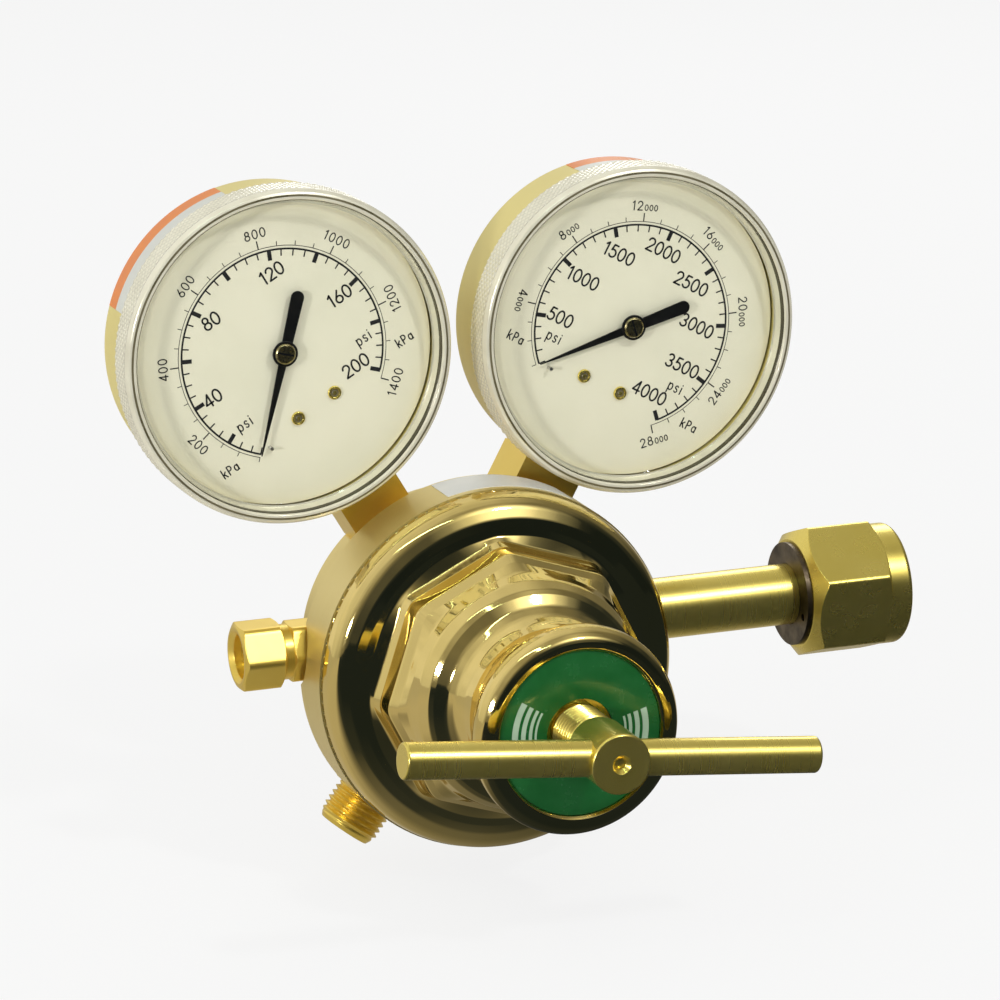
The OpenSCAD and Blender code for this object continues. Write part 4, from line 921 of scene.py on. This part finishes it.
# the dial's two screws stand this far to each side and below the centre
SCREW_SIDE, SCREW_DROP = 4.95, 14.7


def at_screws(part):
    verts, faces = part
    return join(*[([(x + dx, y - SCREW_DROP, z) for x, y, z in verts], faces) for dx in (-SCREW_SIDE, SCREW_SIDE)])


def dial_screw_pieces(g, place):
    head = lathe(fillet([(0.0, 11.0), (0.45, 11.0), (0.6, 10.86), (0.95, 10.86), (1.05, 11.18), (1.45, 11.18),
                         (1.58, 10.66), (0.93, 10.6), (0.93, 8.6), (0, 8.6)],
                        [0, 0.1, 0.05, 0.05, 0.12, 0.15, 0.05, 0, 0, 0], 3), 48)
    make(g + "_dial_screw_heads", *at_screws(head), place, mat_machined, "base", (g + "_dial_screws",),
         "machined_brass")
    # painted shade: a dark sheet laid in the ring-shaped well of each screw head
    well_shade = lathe([(0.45, 11.01), (0.6, 10.875), (0.95, 10.875)], 48)
    make(g + "_dial_screw_wells", *at_screws(well_shade), place, mat_painted_shade_and_reflection, "base", slot="pointer_black")


# pointer: its turn at rest, in degrees anticlockwise from straight up on the dial; the heights of the
# blade's two faces and of its bevel; its tip and its round tail
POINTER_TURN = 135
BLADE_Z0, BLADE_Z1, BLADE_EDGE = 11.95, 12.3, 0.06
TIP_Y, TAIL_Y, TAIL_R = 23.4, -12.7, 1.5


def pointer_pieces(g, place):
    def turned(p):
        return place(turn_z(p, POINTER_TURN))
    hand = g + "_hand"
    outline = [(-0.12, TIP_Y), (0.12, TIP_Y), (1.0, 1.0), (1.2, -1.0), (TAIL_R, TAIL_Y)]
    outline += [(TAIL_R * math.cos(a), TAIL_Y - TAIL_R * math.sin(a)) for a in np.linspace(0.2, PI - 0.2, 12)]
    outline += [(-TAIL_R, TAIL_Y), (-1.2, -1.0), (-1.0, 1.0)]
    n = len(outline)
    verts = [(x, y, BLADE_Z0) for x, y in outline] + [(x, y, BLADE_Z1 - BLADE_EDGE) for x, y in outline]
    verts += [(x - math.copysign(0.05, x), y, BLADE_Z1) for x, y in outline]
    faces = [tuple(range(n - 1, -1, -1)), tuple(range(2 * n, 3 * n))]
    for k in (0, n):
        faces += [(k + i, k + (i + 1) % n, k + n + (i + 1) % n, k + n + i) for i in range(n)]
    make(g + "_pointer_blade", verts, faces, turned, mat_pointer, hand, (g + "_pointer",), "pointer_black",
         sharp=30)
    ring = lathe(fillet([(2.9, 12.28), (2.9, 12.55), (2.35, 12.62)], 0.08, 2), 64)
    skirt = lathe([(1.45, 11.0), (1.45, 12.0)], 48)
    make(g + "_pointer_rim", *join(ring, skirt), turned, mat_pointer, hand, slot="pointer_black")
    hub = lathe(fillet([(2.3, 12.25), (2.3, 12.75), (2.0, 12.98), (0.0, 12.98)], [0, 0.15, 0.15, 0], 3), 64)
    make(g + "_pointer_hub", *hub, turned, mat_hub, hand, slot="machined_brass")
    # painted shade: a flat black strip laid on the hub's face where its slot is
    slot = [(-2.0, -0.22, 12.985), (2.0, -0.22, 12.985), (2.0, 0.22, 12.985), (-2.0, 0.22, 12.985)]
    make(g + "_pointer_slot", slot, [(0, 1, 2, 3)], turned, mat_pointer, hand, slot="pointer_black", smooth=False)


def gauge(g, turn, reach):
    place = f_gauge(turn, reach)
    lens_pieces(g, place)
    dial_screw_pieces(g, place)
    plate = lathe(fillet([(1.7, 10.2), (1.7, 10.65), (34.3, 10.65), (34.4, 10.2)], 0.08, 2), 160)
    make(g + "_dial_plate", *plate, place, mat_dial, "base", (g + "_dial",), "dial_white")
    dial_print(g, place)
    case = lathe(fillet([(0, -7.65), (35.7, -7.65), (35.7, 12.75), (34.9, 12.75), (34.9, -6.85), (0, -6.85)],
                        [0, 1.3, 0.1, 0.1, 0.6, 0], 6), 256)
    make(g + "_case_shell", *case, place, mat_gold, "base", (g + "_case",), "gold_paint")
    pointer_pieces(g, place)


gauge("low", *LOW)
gauge("high", *HIGH)


# floor, room, lamps and camera

# half the floor's side, and how far it lies below the part, in metres
FLOOR_HALF, FLOOR_GAP = 6.0, 0.004
# share of the even pale tone in what the camera sees of the floor
FLOOR_EVEN = 0.88
# what the metals see of the floor: dark in front and to the right, paler below, behind and to the left
FLOOR_LEAN = (-0.4, 1, 0)
FLOOR_TONES = [(0.0, (0.014, 0.020, 0.028)), (0.125, (0.030, 0.036, 0.042)), (0.19, (0.20, 0.19, 0.165)),
               (0.26, (0.48, 0.45, 0.385)), (0.5, (0.50, 0.47, 0.40)), (1.0, (0.46, 0.44, 0.39))]
# what they see of the room: dark in front, a mid-toned ceiling and the pale sweep behind
ROOM_LEAN = (-0.45, 0.55, 0.55)
ROOM_TONES = [(0.0, (0.010, 0.015, 0.022)), (0.14, (0.030, 0.036, 0.042)), (0.28, (0.12, 0.12, 0.11)),
              (0.42, (0.20, 0.19, 0.155)), (0.58, (0.42, 0.41, 0.36)), (0.70, (0.62, 0.61, 0.56)),
              (0.88, (0.80, 0.79, 0.75))]
# direction of the lamp, and the broad reflector round it, which widens the highlights on the turned brass
LAMP = (0.33, -0.65, 0.68)
REFLECTOR_TONES = [(0.0, (0, 0, 0)), (0.45, (0.12, 0.12, 0.11)), (0.75, (0.45, 0.45, 0.42)),
                   (0.92, (1.0, 1.0, 0.95))]
REFLECTOR_POWER = 1.6
# point the lamps look at, in metres
AIM = Vector((-0.108, -0.03, 0.03))


def along(nt, vector, direction):
    """How far a vector reaches along a direction."""
    dot = nt.nodes.new("ShaderNodeVectorMath")
    dot.operation = "DOT_PRODUCT"
    dot.inputs[1].default_value = direction
    nt.links.new(vector, dot.inputs[0])
    return dot.outputs["Value"]


def background(nt, color, strength=1.0):
    """Even light from all round."""
    b = nt.nodes.new("ShaderNodeBackground")
    b.inputs["Color"].default_value = (*color, 1)
    b.inputs["Strength"].default_value = strength
    return b.outputs[0]


def floor_mat():
    """Pale floor that keeps the part's shadow, with a tone of its own for the metals."""
    m, nt, b, out = node_mat("floor_pale")
    b.inputs["Base Color"].default_value = (0.85, 0.85, 0.85, 1)
    b.inputs["Roughness"].default_value = 0.9
    b.inputs["Specular IOR Level"].default_value = 0.0
    # the floor's own shading keeps the shadow; an even pale tone is mixed in for what the camera sees
    even = nt.nodes.new("ShaderNodeEmission")
    even.inputs["Color"].default_value = (0.953, 0.953, 0.953, 1)
    seen = mix_shader(nt, FLOOR_EVEN, b.outputs[0], even.outputs[0])
    cam = mix_shader(nt, light_path(nt, "Is Camera Ray", "Is Transmission Ray"), b.outputs[0], seen)
    where = along(nt, nt.nodes.new("ShaderNodeTexCoord").outputs["Object"], FLOOR_LEAN)
    glow = nt.nodes.new("ShaderNodeEmission")
    nt.links.new(ramp(nt, map_range(nt, where, 0.0, 1.0, -0.056, 0.344), FLOOR_TONES), glow.inputs["Color"])
    nt.links.new(mix_shader(nt, light_path(nt, "Is Glossy Ray"), cam, glow.outputs[0]), out.inputs[0])
    return m


def stage():
    """Floor a little below the part."""
    mesh = bpy.data.meshes.new("floor")
    s = FLOOR_HALF
    z = cad_box[0][2] - FLOOR_GAP
    mesh.from_pydata([(-s, -s, z), (s, -s, z), (s, s, z), (-s, s, z)], [], [(0, 1, 2, 3)])
    floor = bpy.data.objects.new("floor", mesh)
    bpy.context.scene.collection.objects.link(floor)
    mesh.materials.append(floor_mat())


def room():
    """World: even light for the matte surfaces, paper white for the camera, and a toned room for the metals."""
    w = bpy.data.worlds.new("world")
    bpy.context.scene.world = w
    w.use_nodes = True
    nt = w.node_tree
    for n in list(nt.nodes):
        nt.nodes.remove(n)
    out = nt.nodes.new("ShaderNodeOutputWorld")
    view = nt.nodes.new("ShaderNodeTexCoord").outputs["Generated"]
    # the tones wander a little, so their borders aren't straight
    cloud = nt.nodes.new("ShaderNodeTexNoise")
    cloud.inputs["Scale"].default_value = 2.6
    cloud.inputs["Detail"].default_value = 2.0
    nt.links.new(view, cloud.inputs["Vector"])
    wander = nt.nodes.new("ShaderNodeMath")
    wander.operation = "MULTIPLY_ADD"
    wander.inputs[1].default_value = 0.5
    nt.links.new(cloud.outputs["Fac"], wander.inputs[0])
    nt.links.new(along(nt, view, ROOM_LEAN), wander.inputs[2])
    tone = ramp(nt, map_range(nt, wander.outputs[0], 0.0, 1.0, -0.25, 1.25), ROOM_TONES)
    near = along(nt, view, Vector(LAMP).normalized())
    glow = ramp(nt, map_range(nt, near, 0.0, 1.0, 0.88, 1.0), REFLECTOR_TONES)
    total = nt.nodes.new("ShaderNodeVectorMath")
    total.operation = "MULTIPLY_ADD"
    total.inputs[1].default_value = (REFLECTOR_POWER,) * 3
    nt.links.new(glow, total.inputs[0])
    nt.links.new(tone, total.inputs[2])
    seen = nt.nodes.new("ShaderNodeBackground")
    nt.links.new(total.outputs[0], seen.inputs["Color"])
    even = background(nt, (1.0, 0.995, 0.97), 0.62)
    metals = mix_shader(nt, light_path(nt, "Is Diffuse Ray"), seen.outputs[0], even)
    paper = background(nt, (0.93, 0.93, 0.93))
    looked_at = light_path(nt, "Is Camera Ray", "Is Transmission Ray")
    nt.links.new(mix_shader(nt, looked_at, metals, paper), out.inputs[0])


def lamp(name, away, distance, size, power, color=(1, 1, 1)):
    """Oval lamp at a distance from the aimed point, facing it."""
    d = bpy.data.lights.new(name, "AREA")
    d.shape = "ELLIPSE"
    d.size, d.size_y = size
    d.energy = power
    d.color = color
    o = bpy.data.objects.new(name, d)
    bpy.context.scene.collection.objects.link(o)
    away = Vector(away).normalized()
    o.location = AIM + away * distance
    o.rotation_euler = (-away).to_track_quat("-Z", "Y").to_euler()


# camera as solved from the photo: azimuth, elevation and roll in degrees; distance and shift in mm; focal
# length in pixels of the photo
AZIMUTH, ELEVATION, ROLL = -20.23, 14.64, -0.73
DISTANCE, SHIFT_RIGHT, SHIFT_UP = 1089.26, 6.93, 33.75
FOCAL, PHOTO_SIDE, SENSOR = 4806.13, 1000.0, 36.0


def camera():
    """Camera that sees the part as the photo does."""
    a, e, r = math.radians(AZIMUTH), math.radians(ELEVATION), math.radians(ROLL)
    back = Vector((math.sin(a) * math.cos(e), -math.cos(a) * math.cos(e), math.sin(e)))
    level = Vector((math.cos(a), math.sin(a), 0))
    rise = back.cross(level)
    right = level * math.cos(r) + rise * math.sin(r)
    up = -level * math.sin(r) + rise * math.cos(r)
    centre = (right * SHIFT_RIGHT + up * SHIFT_UP + back * DISTANCE - Vector((REACH, BACK, RISE))) * MM
    cd = bpy.data.cameras.new("camera")
    cd.sensor_width = SENSOR
    cd.lens = FOCAL * SENSOR / PHOTO_SIDE
    cd.clip_start = 0.05
    cd.clip_end = 50
    o = bpy.data.objects.new("camera", cd)
    m = Matrix.Identity(4)
    for i in range(3):
        m[i][0], m[i][1], m[i][2], m[i][3] = right[i], up[i], back[i], centre[i]
    o.matrix_world = m
    bpy.context.scene.collection.objects.link(o)
    bpy.context.scene.camera = o


stage()
room()
lamp("key", (-0.80, -0.50, 0.17), 1.5, (0.18, 0.18), 7.5)
lamp("lamp", LAMP, 1.4, (0.12, 0.12), 5)
lamp("strip", (-0.30, -0.45, 0.84), 1.3, (0.9, 0.04), 1.2, (0.72, 1.0, 0.86))
lamp("back", (0.45, 0.8, 0.5), 1.3, (0.5, 0.5), 2)
camera()
bpy.context.scene.view_settings.view_transform = "Standard"
